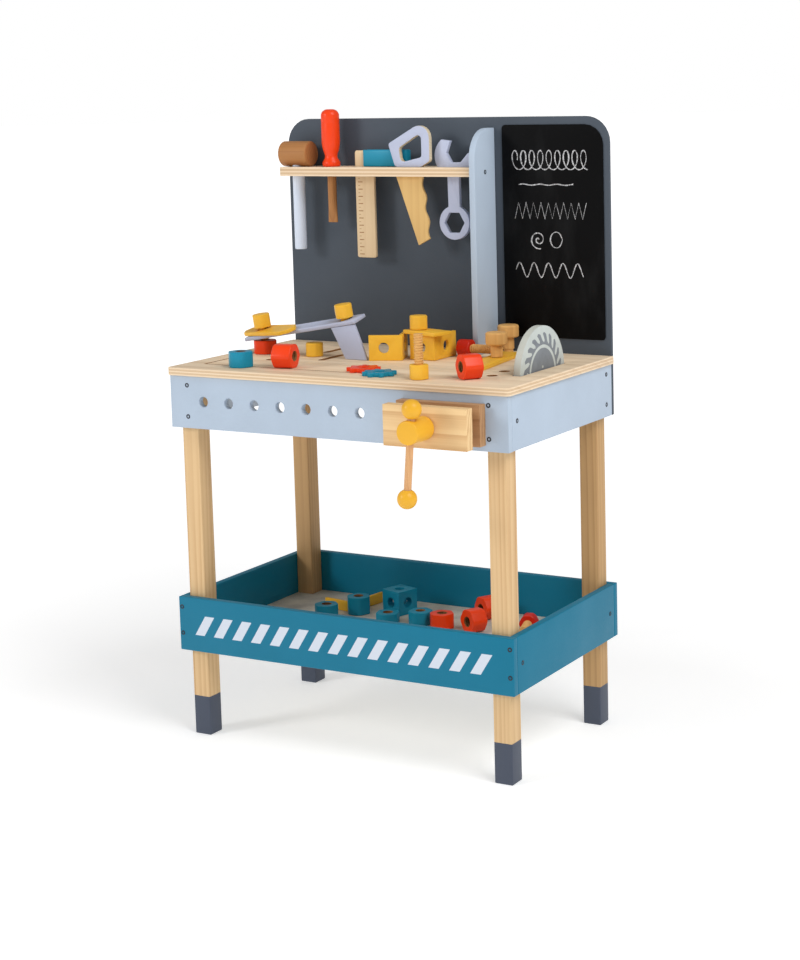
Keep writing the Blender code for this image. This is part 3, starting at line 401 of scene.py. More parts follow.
def dipped_pine(name, pale, dark):
    """Leg wood with its foot dipped in grey paint."""
    paint = Paint(name)
    colour, fibre, late = wood_colour(paint, pale, dark, "Z", 0.0058, 0.55, (0.4, 0.3, 0))
    height = paint.axes()[2]
    line = 0.052 + (paint.noise(paint.place, 90) - 0.5) * 0.0008
    dip = height < line
    paint.bump((fibre * 0.6 - late * 0.4) * (1 - dip) + dip * 0.8, 0.25, 0.0004)
    rough = paint.spread(fibre, 0.3, 0.7, 0.5, 0.62) - dip * 0.1
    return paint.finished(paint.mix(dip, colour, DIP_GREY), rough)


def layered_ply(name, top, thickness, layers):
    """Birch ply: a streaked face, and darker glue and cross layers on the edges."""
    paint = Paint(name)
    heart = (0.1, 0.3, 0.5)
    face, fibre, late = wood_colour(paint, BIRCH_PALE, BIRCH_DARK, "X", 0.011, 0.42, heart)
    depth = (top - paint.axes()[2]) / thickness * layers
    band = (depth.apply("MODULO", 2) > 1) * (depth > 0.35) * (depth < layers - 0.35)
    joint = (depth.apply("FRACT") - 0.5).apply("ABSOLUTE") > 0.44
    glue = joint * (depth > 0.4) * (depth < layers - 0.4)
    cross = paint.mix(fibre, linear(206, 168, 122), linear(176, 134, 90))
    colour = paint.mix(band * 0.5, face, cross)
    colour = paint.mix(glue * 0.4, colour, linear(140, 104, 72))
    paint.bump(fibre * 0.7 - late * 0.3 - glue * 0.3, 0.22, 0.0003)
    return paint.finished(colour, paint.spread(fibre, 0.3, 0.7, 0.5, 0.64))


def striped_teal(face):
    """The tray's front board, with fifteen slanted pale bars printed along it."""
    paint = Paint("striped_teal", coat=0.05)
    colour, rough = painted_surface(paint, TEAL, "X", 0.48, 0.5)
    x, y, z = paint.axes()
    foot = 0.1378
    tall = 0.0262
    pitch = 0.02936
    wide = 0.0146
    slant = (z - foot) * (0.0166 / tall)
    along = x + 0.2232 - slant
    inside = (along.apply("MODULO", pitch) < wide) * (along > 0) * (along < 14 * pitch + wide + 0.0001)
    height = (z > foot) * (z < foot + tall)
    front = y < face + 0.0012
    worn = paint.spread(paint.noise(paint.place, 700, 3), 0.2, 0.34, 0.86, 1.0)
    mask = inside * height * front * worn
    return paint.finished(paint.mix(mask, colour, WHITE_PRINT), rough - mask * 0.04)


def printed_disc(centre):
    """The saw's face: a pale rim with hooked teeth on grey, a pale ring and a dot."""
    paint = Paint("printed_disc")
    x, y, z = paint.axes(paint.shifted(location=[-c for c in centre]))
    radius = (y * y + z * z) ** 0.5
    angle = z.apply("ARCTAN2", y)
    teeth = 20
    lean = (0.0585 - radius) * 14
    turn = ((angle + lean) * (teeth / 2 / math.pi)).apply("FRACT") - 0.5
    width = paint.spread(radius, 0.0388, 0.0415, 0.02, 0.23)
    tooth = (turn.apply("ABSOLUTE") < width) * (radius > 0.0388)
    rim = radius > paint.spread(turn.apply("ABSOLUTE"), 0.2, 0.5, 0.0495, 0.0520)
    ring = (radius > 0.0322) * (radius < 0.0362)
    dot_rise = 0.0085
    dot = y * y + (z - dot_rise) * (z - dot_rise) < 0.0000032
    pale = tooth.apply("MAXIMUM", rim).apply("MAXIMUM", ring).apply("MAXIMUM", dot)
    cloud = paint.noise(paint.place, 90, 3)
    grey = paint.mix(cloud, linear(134, 140, 146), linear(118, 123, 129))
    base = paint.mix(cloud, linear(203, 210, 206), linear(184, 191, 188))
    edge = x.apply("ABSOLUTE") < SAW_HALF - 0.0006
    wood_edge = paint.mix(cloud, linear(206, 208, 200), linear(184, 186, 176))
    colour = paint.mix(edge, paint.mix(pale, grey, base), wood_edge)
    paint.bump(cloud, 0.15, 0.0004)
    return paint.finished(colour, paint.spread(cloud, 0.3, 0.7, 0.5, 0.62))


def ruled_birch(left, top):
    """The ruler's pale wood with burnt marks a centimetre apart down its left side."""
    paint = Paint("ruled_birch")
    heart = (0.2, 0.1, 0)
    colour, fibre = wood_colour(paint, RULER_PALE, BIRCH_DARK, "Z", 0.006, 0.35, heart)[:2]
    x, z = paint.axes()[::2]
    down = top - z
    centimetre = ((down / RULER_PITCH).apply("FRACT") - 0.5).apply("ABSOLUTE") > 0.44
    half = ((down / (RULER_PITCH / 2)).apply("FRACT") - 0.5).apply("ABSOLUTE") > 0.40
    long_mark = centimetre * (x > left + 0.0042) * (x < left + 0.0112)
    short_mark = half * (x > left + 0.0042) * (x < left + 0.0072)
    span = (down > 0.004) * (down < 0.124)
    mark = long_mark.apply("MAXIMUM", short_mark * 0.6) * span
    burn = mark * paint.spread(paint.noise(paint.place, 900), 0.3, 0.5, 0.5, 1.0)
    paint.bump(fibre * 0.5 - mark, 0.3, 0.0003)
    return paint.finished(paint.mix(burn, colour, linear(150, 98, 52)), 0.55)


def chalkboard_black():
    """Dull black board paint with a film of wiped chalk."""
    paint = Paint("chalkboard_black")
    wiped = paint.noise(paint.shifted(scale=(1, 1, 0.35), rotation=(0, 0.5, 0)), 24, 5, 0.6)
    grit = paint.noise(paint.place, 1300, 2)
    paint.shader.inputs["Specular IOR Level"].default_value = 0.08
    dust = paint.spread(wiped, 0.5, 0.85, 0.0, 0.06) + (grit - 0.5) * 0.02
    paint.bump(grit, 0.2, 0.0002)
    colour = paint.mix(dust, linear(6, 6, 7), linear(120, 122, 124))
    return paint.finished(colour, paint.spread(grit, 0.3, 0.7, 0.5, 0.68))


def chalk():
    """Chalk strokes, broken up where the stick skipped over the board."""
    paint = Paint("chalk", 0.95)
    skip = paint.noise(paint.place, 1100, 3, 0.7)
    share = paint.spread(skip, 0.38, 0.56)
    paint.bump(skip, 0.5, 0.0003)
    return paint.finished(paint.mix(share, linear(70, 70, 72), linear(216, 216, 218)))


def blackened_steel():
    """The dark screws."""
    paint = Paint("blackened_steel", 0.35)
    paint.shader.inputs["Metallic"].default_value = 1
    scuff = paint.noise(paint.place, 1500, 3)
    paint.bump(scuff, 0.2, 0.0001)
    colour = paint.mix(scuff, linear(44, 46, 52), linear(78, 80, 86))
    return paint.finished(colour, paint.spread(scuff, 0.3, 0.7, 0.34, 0.5))


def hardboard_grey():
    """The tray floor's mottled hardboard."""
    paint = Paint("hardboard_grey")
    cloud = paint.noise(paint.place, 30, 4)
    grit = paint.noise(paint.place, 800, 3)
    share = paint.spread(cloud + grit * 0.4, 0.5, 0.9)
    colour = paint.mix(share, TRAY_GREY, linear(176, 174, 168))
    paint.bump(grit, 0.35, 0.0004)
    return paint.finished(colour, paint.spread(grit, 0.3, 0.7, 0.6, 0.75))


def floor_white():
    """White paper that glows as painted light: its glow grows away from the bench, where the lamps reach
    less.
    """
    paint = Paint("studio_floor", 0.6)
    cloud = paint.noise(paint.place, 1.5, 2)
    x, y = paint.axes()[:2]
    away = paint.spread((x * x + y * y) ** 0.5, 0.5, 3.5)
    glow = paint.mix(away, (0.35, 0.35, 0.35), (0.85, 0.85, 0.85))
    paint.feed(paint.shader.inputs["Emission Color"], glow)
    paint.shader.inputs["Emission Strength"].default_value = 1.0
    return paint.finished(paint.mix(cloud, (0.93, 0.93, 0.93), (0.90, 0.90, 0.90)))


JAW_PALE = linear(238, 204, 152)
JAW_DARK = linear(188, 134, 80)
BLADE_PALE = linear(222, 184, 120)
BLADE_DARK = linear(196, 148, 86)
PEG_PALE = linear(222, 172, 104)
PEG_DARK = linear(180, 118, 60)
SHADE_PALE = linear(190, 146, 104)
SHADE_DARK = linear(140, 92, 58)

M = {
    "pine_z": dipped_pine("pine_z", PINE_PALE, PINE_DARK),
    # The back legs' pine is darker: painted shade, for the shade under the worktop.
    "pine_back_shaded": dipped_pine("pine_back_shaded", linear(196, 158, 110), linear(150, 104, 62)),
    "jaw_front": wood("jaw_front", JAW_PALE, JAW_DARK, "X", 0.0062, 0.85, (0, 0.055, -0.43)),
    # The fixed jaw's wood is darker: painted shade, for the shade behind the moving jaw.
    "jaw_shaded": wood("jaw_shaded", SHADE_PALE, SHADE_DARK, "X", 0.0055, 0.7, (0, 0.03, -0.44)),
    "pine_y": wood("pine_y", PINE_PALE, PINE_DARK, "Y", 0.004, 0.6),
    # Dark bare wood for bores, hole sides and the groove: painted shade inside these recesses.
    "bore_shaded": wood("bore_shaded", linear(150, 104, 62), linear(84, 52, 30), "Z", 0.003, 0.6),
    "beech_x": wood("beech_x", BEECH_PALE, BEECH_DARK, "X", 0.0042, 0.5, (0, 0.01, -0.70)),
    "beech_z": wood("beech_z", BEECH_PALE, BEECH_DARK, "Z", 0.0042, 0.5, (0.16, -0.12, 0)),
    "raw_edge": wood("raw_edge", linear(214, 200, 172), linear(190, 166, 126), "X", 0.004, 0.5),
    "blade_wood": wood("blade_wood", BLADE_PALE, BLADE_DARK, "Z", 0.006, 0.45, (0.06, -0.2, 0)),
    "peg_wood": wood("peg_wood", PEG_PALE, PEG_DARK, "Z", 0.009, 0.4, (-0.1, -0.05, 0)),
    "bar_wood": wood("bar_wood", linear(222, 172, 122), linear(178, 122, 78), "Z", 0.003, 0.4),
    "worktop": layered_ply("worktop_ply", 0.490, 0.010, 5),
    "shelf": layered_ply("shelf_ply", 0.7355, 0.012, 5),
    "pale_blue": painted("pale_blue", PALE_BLUE, "X", 0.52),
    "pale_blue_z": painted("pale_blue_z", PALE_BLUE, "Z", 0.52),
    "tool_blue": painted("tool_blue", linear(186, 193, 216), "Z", 0.5),
    # The tool blue made paler for the mallet's handle: painted light, making up for the shade the handle
    # sits in.
    "handle_blue_lit": painted("handle_blue_lit", linear(216, 226, 242), "Z", 0.5),
    "slate": painted("slate", SLATE, "X", 0.58, 0.3),
    "teal": painted("teal", TEAL, "X", 0.48, 0.5, 0.05),
    "teal_toy": painted("teal_toy", linear(19, 142, 174), "Z", 0.42, 0.4, 0.1),
    "yellow": painted("yellow", YELLOW, "X", 0.4, 0.5, 0.12),
    "yellow_turned": painted("yellow_turned", linear(240, 180, 48), "Z", 0.36, 0.3, 0.15),
    "red": painted("red", RED, "Z", 0.36, 0.4, 0.15),
    "dark_red": painted("dark_red", linear(206, 36, 12), "Z", 0.38, 0.4, 0.12),
    "tray_floor": hardboard_grey(),
    "chalkboard": chalkboard_black(),
    "chalk": chalk(),
    "steel": blackened_steel(),
}


# Bench


def board(node, width, made):
    """A sawn board: a block at its place, with its edges eased."""
    low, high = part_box(node)
    piece = primitive(
        "cube", node + "_shown", size=1, location=(Vector(low) + Vector(high)) / 2,
        scale=Vector(high) - Vector(low),
    )
    edit(piece, "EDGE")
    bpy.ops.mesh.select_all(action="SELECT")
    bpy.ops.mesh.bevel(offset=width, segments=3, profile=0.5)
    done()
    soften(piece)
    return stand_for(finish(piece, made), node)


def make_frame():
    """Legs, aprons, tray and the boards at the back."""
    for side in ("left", "right"):
        board("apron_" + side, 0.0012, M["pale_blue"])
        for end in ("front", "back"):
            # The back legs take the darker pine: painted shade under the worktop.
            pine = M["pine_z"] if end == "front" else M["pine_back_shaded"]
            board("leg_" + end + "_" + side, 0.0014, pine)
        board("tray_" + side, 0.0010, M["teal"])
    board("tray_back", 0.0010, M["teal"])
    board("tray_front", 0.0010, striped_teal(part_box("tray_front")[0][1]))
    eased("apron_front", 0.0009, M["pale_blue"])
    eased("backboard", 0.0010, M["slate"])
    eased("divider", 0.0012, M["pale_blue_z"])
    eased("shelf", 0.0008, M["shelf"])
    eased("tray_floor", 0.0003, M["tray_floor"])
    eased("saw_keeper", 0.0006, M["worktop"])
    eased("chalkboard", 0.0004, M["chalkboard"])


def make_worktop():
    """The ply top, with a shallow groove routed round its left front."""
    low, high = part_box("worktop")
    piece = copied("worktop", "worktop_shown")
    left = low[0] + 0.0275
    front = low[1] + 0.042
    back = high[1] - 0.048
    depth = 0.0014
    wide = 0.0030
    groove_end = 0.012
    runs = (
        ((left, front), (groove_end, front + wide)),
        ((left, front), (left + wide, back)),
    )
    for (x0, y0), (x1, y1) in runs:
        cutter = primitive(
            "cube", "groove_cutter", size=1,
            location=((x0 + x1) / 2, (y0 + y1) / 2, high[2] + depth),
            scale=(x1 - x0, y1 - y0, 4 * depth),
        )
        carve(piece, cutter)
    edit(piece, "FACE")
    bpy.ops.mesh.select_all(action="SELECT")
    bpy.ops.mesh.dissolve_limited(angle_limit=math.radians(0.3))
    done()
    ease(piece, 0.0006)
    paint_groove(piece, low, high, left, front, wide)
    stand_for(finish(piece, M["worktop"], M["bore_shaded"]), "worktop")


def paint_groove(piece, low, high, left, front, wide):
    """The groove and the sides of the holes get darker wood: painted shade inside these recesses."""
    top = high[2]
    margin = 0.006
    for face in piece.data.polygons:
        x, y, z = face.center
        in_groove = min(abs(x - left - wide / 2), abs(y - front - wide / 2)) < wide * 0.7
        below = top - 0.0030 < z < top - 0.0002
        inside = low[0] + margin < x < high[0] - margin and low[1] + margin < y < high[1] - margin / 2
        if (in_groove and below) or (inside and abs(face.normal.z) < 0.5):
            face.material_index = 1


def make_screw():
    """A black countersunk screw with a six-sided socket, facing -Y at the origin."""
    piece = primitive(
        "cylinder", "screw_master", vertices=20, radius=0.0031, depth=SCREW_HEAD, location=(0, 0, 0)
    )
    edit(piece)
    pick(piece, "FACE", lambda f: f.normal.z > 0.9)
    bpy.ops.mesh.bevel(offset=0.0005, segments=2)
    done()
    socket = primitive(
        "cylinder", "socket_cutter", vertices=6, radius=0.0016, depth=SCREW_HEAD,
        location=(0, 0, SCREW_HEAD / 2),
    )
    carve(piece, socket)
    soften(piece)
    finish(piece, M["steel"])
    return move(piece, Matrix.Rotation(QUARTER, 4, "X"))


def halfway(node, axis):
    low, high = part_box(node)
    return (low[axis] + high[axis]) / 2


def make_screws():
    """The countersunk screws, each one a copy: in front, at both sides and behind."""
    master = make_screw()
    apron_rows = (0.4677, 0.4270)
    tray_rows = (0.1735, 0.1385)
    apron_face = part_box("apron_front")[0][1]
    tray_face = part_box("tray_front")[0][1]
    front = [(x, apron_face, z) for x in (-0.2205, 0.2205) for z in apron_rows]
    front += [(x, tray_face, z) for x in (-0.2430, 0.2430) for z in tray_rows]
    for i, (x, y, z) in enumerate(front):
        spot = Matrix.Translation((x, y + SCREW_HEAD / 2 - SCREW_PROUD, z))
        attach(twin(master, "front_screw_%d" % (i + 1), spot), "bench")
    apron_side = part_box("apron_right")[1][0]
    tray_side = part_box("tray_right")[1][0]
    divider_side, divider_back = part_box("divider")[1][:2]
    front_leg = halfway("leg_front_right", 1)
    back_leg = halfway("leg_back_right", 1)
    sides = [
        (apron_side, front_leg, 0.4475, (1, -1)),
        (apron_side, back_leg, 0.4680, (1, -1)),
        (apron_side, back_leg, 0.4285, (1, -1)),
        (tray_side, front_leg, 0.1520, (1, -1)),
        (tray_side, back_leg, 0.1500, (1, -1)),
        (divider_side, divider_back - 0.0277, 0.7290, (1,)),
    ]
    turned = Matrix.Rotation(QUARTER, 4, "Z")
    placed = [
        (Matrix.Translation((sign * (x - SCREW_HEAD / 2 + SCREW_PROUD), y, z)), sign)
        for x, y, z, signs in sides
        for sign in signs
    ]
    for i, (spot, sign) in enumerate(placed):
        way = turned if sign > 0 else turned.inverted()
        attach(twin(master, "side_screw_%d" % (i + 1), spot @ way), "bench")
    board_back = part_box("backboard")[1][1]
    tray_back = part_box("tray_back")[1][1]
    divider = halfway("divider", 0)
    behind = [(x, board_back, z) for x in (-0.225, 0.225) for z in (0.4310, 0.4650)]
    behind += [(divider, board_back, z) for z in (0.54, 0.75)]
    behind += [(x, board_back, 0.7295) for x in (-0.19, -0.05)]
    behind += [(x, tray_back, z) for x in (-0.243, 0.243) for z in tray_rows]
    sunk = SCREW_HEAD / 2 + 0.0001
    for i, (x, y, z) in enumerate(behind):
        spot = Matrix.Translation((x, y - sunk, z)) @ Matrix.Rotation(math.pi, 4, "Z")
        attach(twin(master, "back_screw_%d" % (i + 1), spot), "bench")
    bpy.data.objects.remove(master)


def chalk_rows(left, top):
    """Four rows of a child's scribbles and an underline, with no lettering."""
    loops = [
        (left + 0.016 + 0.0125 * t / 6.28 + 0.0068 * math.cos(t), top - 0.046 + 0.0125 * math.sin(t))
        for t in [i * 0.3 for i in range(196)]
    ]
    underline = [(left + 0.024 + i * 0.004, top - 0.078 + 0.0008 * math.sin(i)) for i in range(21)]
    zigzag = [
        (left + 0.018 + i * 0.0055, top - 0.112 + (0.0105 if i % 2 else -0.0105)) for i in range(20)
    ]
    spiral = [
        (left + 0.052 + 0.0011 * t * math.cos(t), top - 0.150 + 0.0011 * t * math.sin(t))
        for t in [i * 0.25 for i in range(46)]
    ]
    hoop = [
        (left + 0.078 + 0.009 * math.cos(i * 0.7), top - 0.150 + 0.011 * math.sin(i * 0.7))
        for i in range(10)
    ]
    wave = [(left + 0.018 + i * 0.0021, top - 0.190 + 0.010 * math.sin(i * 0.62)) for i in range(48)]
    return [[p for p in loops if p[0] < left + 0.125], underline, zigzag, spiral, hoop, wave]


def make_chalk_marks():
    """Each chalk stroke as a flattened bead of chalk that lies on the board."""
    low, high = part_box("chalkboard")
    surface = low[1] - 0.00015
    zigzag_row = 2
    for i, points in enumerate(chalk_rows(low[0], high[2])):
        stroke = bpy.data.curves.new("chalk_stroke_%d" % (i + 1), "CURVE")
        stroke.dimensions = "3D"
        stroke.bevel_depth = 0.0011
        stroke.bevel_resolution = 1
        spline = stroke.splines.new("NURBS" if i != zigzag_row else "POLY")
        spline.points.add(len(points) - 1)
        for point, (x, z) in zip(spline.points, points):
            point.co = (x, 0, z, 1)
            point.radius = 0.7 + 0.3 * math.sin(x * 900)
        spline.use_endpoint_u = True
        spline.order_u = 3
        made = bpy.data.objects.new(stroke.name, stroke)
        bpy.context.scene.collection.objects.link(made)
        only(made)
        bpy.ops.object.convert(target="MESH")
        made = bpy.context.object
        made.data.transform(Matrix.Translation((0, surface, 0)) @ Matrix.Scale(0.22, 4, (0, 1, 0)))
        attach(finish(soften(made), M["chalk"]), "bench")


# Vise


def outline(name, profile):
    """A line through (radius, height) points, to be spun or screwed round Z."""
    piece = primitive("plane", name, size=0.01)
    edit(piece, "VERT")
    bpy.ops.mesh.select_all(action="SELECT")
    bpy.ops.mesh.delete(type="VERT")
    done()
    points = [(radius, 0, height) for radius, height in profile]
    piece.data.from_pydata(points, [(i, i + 1) for i in range(len(points) - 1)], [])
    return piece


def turned_piece(name, profile, steps):
    """Spins an outline of (radius, height) points round Z into a closed turned piece."""
    piece = outline(name, profile)
    edit(piece, "VERT")
    bpy.ops.mesh.select_all(action="SELECT")
    bpy.ops.mesh.spin(
        steps=steps, angle=2 * math.pi, center=(0, 0, 0), axis=(0, 0, 1), use_auto_merge=True
    )
    bpy.ops.mesh.select_all(action="SELECT")
    bpy.ops.mesh.remove_doubles(threshold=MERGE)
    bpy.ops.mesh.normals_make_consistent(inside=False)
    done()
    return soften(piece, 35)


def arc(centre, radius, start, end, steps):
    """Points along an arc, its angles in degrees."""
    angles = [math.radians(start + (end - start) * i / steps) for i in range(steps + 1)]
    return [(centre[0] + radius * math.cos(a), centre[1] + radius * math.sin(a)) for a in angles]


def middle(node):
    """The middle, the low corner and the high corner of a CAD node's box."""
    low, high = (Vector(corner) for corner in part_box(node))
    return (low + high) / 2, low, high


def make_vise():
    """Two jaws on guide dowels, the wooden screw, the knob, and the bar with its two beads."""
    # The fixed jaw takes the darker wood: painted shade.
    eased("vise_fixed_jaw", 0.0012, M["jaw_shaded"])
    eased("vise_moving_jaw", 0.0016, M["jaw_front"], steps=3)
    for side in ("left", "right"):
        eased("vise_guide_" + side, 0.0008, M["pine_y"])
    centre, low, high = middle("vise_screw")
    screw = threaded_rod("vise_screw_shown", 0.0056, 0.0069, 0.004, high[1] - low[1])
    place = Matrix.Translation((centre[0], low[1], centre[2])) @ Matrix.Rotation(-QUARTER, 4, "X")
    stand_for(finish(move(screw, place), M["pine_y"]), "vise_screw")
    centre, low, high = middle("vise_knob")
    length = high[1] - low[1]
    radius = (high[0] - low[0]) / 2
    rim = 0.002
    socket = 0.0075
    profile = [(0, length), *arc((radius - rim, length - rim), rim, 90, 0, 5)]
    profile += [*arc((radius - rim, rim), rim, 0, -90, 5), (socket, 0), (socket, 0.008), (0, 0.008)]
    knob = turned_piece("vise_knob_shown", profile, 48)
    place = Matrix.Translation((centre[0], high[1], centre[2])) @ Matrix.Rotation(QUARTER, 4, "X")
    move(knob, place)
    bar_centre, bar_low, bar_high = middle("vise_bar")
    across = Matrix.Translation(bar_centre) @ Matrix.Rotation(BAR_TILT, 4, "Y")
    drill = primitive("cylinder", "bar_drill", vertices=32, radius=0.0051, depth=0.2)
    carve(knob, move(drill, across))
    ease(knob, 0.0004)
    stand_for(finish(knob, M["yellow_turned"]), "vise_knob")
    thick = 0.0045
    bar_length = (bar_high[2] - bar_low[2]) / math.cos(BAR_TILT) - 2 * thick * math.tan(BAR_TILT)
    bar = primitive("cylinder", "vise_bar_shown", vertices=32, radius=thick, depth=bar_length)
    ease(bar, 0.0006)
    stand_for(finish(move(bar, across), M["bar_wood"]), "vise_bar")
    for name, flip in (("upper", 0), ("lower", math.pi)):
        centre, low, high = middle("vise_ball_" + name)
        make_bead("vise_ball_" + name, bar_centre, centre, flip, (high[0] - low[0]) / 2)


def make_bead(node, bar_centre, centre, flip, radius):
    """A painted bead with a small flat round the hole that the bar is glued in."""
    mouth = 0.0048
    edge = math.degrees(math.acos(mouth / radius))
    profile = [(0, radius), *arc((0, 0), radius, 84, -edge, 22), (mouth, -0.004), (0, -0.004)]
    bead = turned_piece(node + "_shown", profile, 36)
    axis = Vector((math.sin(BAR_TILT), 0, math.cos(BAR_TILT)))
    spot = bar_centre + axis * (centre - bar_centre).dot(axis)
    lean = Matrix.Rotation(BAR_TILT, 4, "Y")
    place = Matrix.Translation(spot) @ lean @ Matrix.Rotation(flip, 4, "X")
    stand_for(finish(move(bead, place), M["yellow_turned"]), node)


def threaded_rod(name, core, crest, pitch, length):
    """A rod with a rounded wooden thread, from its origin up Z, closed at both ends."""
    piece = open_thread(name, core, crest, pitch, length)
    edit(piece, "VERT")
    for height, above in ((0.0, False), (length, True)):
        bpy.ops.mesh.select_all(action="SELECT")
        bpy.ops.mesh.bisect(
            plane_co=(0, 0, height), plane_no=(0, 0, 1), use_fill=True,
            clear_inner=not above, clear_outer=above,
        )
    bpy.ops.mesh.select_all(action="SELECT")
    bpy.ops.mesh.remove_doubles(threshold=MERGE)
    bpy.ops.mesh.normals_make_consistent(inside=False)
    done()
    return soften(piece, 40)


def open_thread(name, core, crest, pitch, length):
    """A thread's skin, longer at both ends than the rod that it is trimmed to."""
    start = -1.5 * pitch
    tooth = [(core, 0), (core, 0.18), (crest, 0.42), (crest, 0.58), (core, 0.82), (core, 1)]
    piece = outline(name, [(radius, start + share * pitch) for radius, share in tooth])
    finish_with(
        piece, "SCREW", steps=24, render_steps=24, iterations=int(length / pitch) + 3,
        screw_offset=pitch, use_merge_vertices=True, merge_threshold=1e-5, angle=2 * math.pi,
    )
    return piece


# Round saw


def make_saw():
    """The printed disc on its dowel."""
    centre, low, high = middle("saw_disc")
    piece = primitive(
        "cylinder", "saw_disc_shown", vertices=96, radius=(high[2] - low[2]) / 2,
        depth=high[0] - low[0], location=centre, rotation=(0, QUARTER, 0),
    )
    drill = primitive(
        "cylinder", "axle_drill", vertices=24, radius=0.0033, depth=0.03, location=centre,
        rotation=(0, QUARTER, 0),
    )
    carve(piece, drill)
    ease(piece, 0.0008, 3)
    stand_for(finish(piece, printed_disc(centre)), "saw_disc")
    # The axle takes the dark bore wood, which is darkened with painted shade.
    eased("saw_axle", 0.0005, M["bore_shaded"])


# Shelf tools


def make_mallet():
    """A turned head, flat at both ends, on a painted dowel."""
    centre, low, high = middle("mallet_head")
    half = (high[0] - low[0]) / 2
    radius = (high[2] - low[2]) / 2
    edge = 0.0022
    inner = radius * 0.6
    dome = 0.0002
    profile = [(0, half), (inner, half - dome), *arc((radius - edge, half - edge), edge, 88, 0, 6)]
    profile += [*arc((radius - edge, edge - half), edge, 0, -88, 6), (inner, dome - half), (0, -half)]
    head = turned_piece("mallet_head_shown", profile, 56)
    place = Matrix.Translation(centre) @ Matrix.Rotation(QUARTER, 4, "Y")
    stand_for(finish(move(head, place), M["beech_x"]), "mallet_head")
    centre, low, high = middle("mallet_handle")
    handle = primitive(
        "cylinder", "mallet_handle_shown", vertices=40, radius=(high[0] - low[0]) / 2,
        depth=high[2] - low[2], location=centre,
    )
    ease(handle, 0.0016, 3)
    # The handle's paler blue is painted light, making up for the shade it sits in.
    stand_for(finish(handle, M["handle_blue_lit"]), "mallet_handle")


def make_screwdriver():
    """A turned, glossy handle with shallow rings, over a shaft drawn out to a flat tip."""
    centre, low, high = middle("screwdriver_handle")
    length = high[2] - low[2]
    radius = (high[0] - low[0]) / 2
    dome = radius * 0.72
    flat = radius - dome
    shape = [
        (1, 0.78), (0.985, 0.765), (1, 0.75), (1, 0.44), (0.985, 0.40), (0.93, 0.335),
        (0.84, 0.275), (0.72, 0.225), (0.665, 0.185), (0.70, 0.15), (0.82, 0.115),
        (0.935, 0.085), (0.972, 0.06), (0.972, 0.022),
    ]
    profile = [(0, length), *arc((flat, length - dome), dome, 88, 6, 10)]
    profile += [(radius * wide, length * high_up) for wide, high_up in shape]
    profile += [(radius * 0.93, 0.0004), (radius * 0.90, 0)]
    profile += [(0.0063, 0), (0.0063, length / 3), (0, length / 3)]
    handle = turned_piece("screwdriver_handle_shown", profile, 56)
    move(handle, Matrix.Translation((centre[0], centre[1], low[2])))
    stand_for(finish(handle, M["red"]), "screwdriver_handle")
    centre, low, high = middle("screwdriver_shaft")
    thick = 0.006
    taper = 0.028
    shaft = primitive(
        "cylinder", "screwdriver_shaft_shown", vertices=40, radius=thick, depth=high[2] - low[2],
        location=centre,
    )
    edit(shaft, "VERT")
    for height in (0.004, 0.010, 0.016, 0.022, taper):
        bpy.ops.mesh.select_all(action="SELECT")
        bpy.ops.mesh.bisect(plane_co=(0, 0, low[2] + height), plane_no=(0, 0, 1))
    done()
    wide = (high[0] - low[0]) / 2 / thick
    for vertex in shaft.data.vertices:
        share = max(0.0, min(1.0, 1 - (vertex.co.z - low[2]) / taper))
        share = share * share * (3 - 2 * share)
        vertex.co.x = centre[0] + (vertex.co.x - centre[0]) * (1 + (wide - 1) * share)
        vertex.co.y = centre[1] + (vertex.co.y - centre[1]) * (1 - 0.66 * share)
    ease(shaft, 0.0004, angle=50)
    stand_for(finish(shaft, M["beech_z"]), "screwdriver_shaft")


def make_flat_tools():
    """The try square, the handsaw and the wrench."""
    eased("square_blade", 0.0008, ruled_birch(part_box("square_blade")[0][0], 0.7295 + RULER_PITCH / 2))
    eased("square_stock", 0.0016, M["teal_toy"], steps=3)
    handle = ease(copied("handsaw_handle", "handsaw_handle_shown"), 0.0012, 3)
    for face in handle.data.polygons:
        face.material_index = 0 if abs(face.normal.y) > 0.35 else 1
    stand_for(finish(handle, M["tool_blue"], M["raw_edge"]), "handsaw_handle")
    eased("handsaw_blade", 0.0007, M["blade_wood"])
    eased("wrench", 0.0013, M["tool_blue"], steps=3)


# Toy fasteners


def hexagon(name, flats, height, round_off, chamfer):
    """A six-sided block on Z with well rounded corners and eased rims."""
    corner = flats / 2 / math.cos(math.pi / 6)
    piece = primitive("cylinder", name, vertices=6, radius=corner, depth=height)
    edit(piece, "EDGE")
    pick(piece, "EDGE", lambda e: abs(e.verts[0].co.z - e.verts[1].co.z) > height / 2)
    bpy.ops.mesh.bevel(offset=round_off, segments=6, profile=0.5)
    pick(piece, "FACE", lambda f: abs(f.normal.z) > 0.9)
    bpy.ops.mesh.bevel(offset=chamfer, segments=3, profile=0.6)
    done()
    move(piece, Matrix.Rotation(math.radians(30), 4, "Z"))
    return soften(piece, 28)


def make_nut(height, paint):
    """A rounded nut with a threaded bore of bare wood, darkened with painted shade."""
    piece = hexagon("nut_master", NUT_FLATS, height, 0.0042, 0.0014)
    tap = threaded_rod("tap", 0.0066, 0.0074, 0.0036, height * 1.5)
    move(tap, Matrix.Translation((0, 0, -height * 0.75)))
    carve(piece, tap)
    soften(piece, 30)
    for face in piece.data.polygons:
        centre = face.center
        inside = math.hypot(centre.x, centre.y) < 0.0080 and abs(face.normal.z) < 0.95
        face.material_index = 1 if inside else 0
    return finish(piece, paint, M["bore_shaded"])


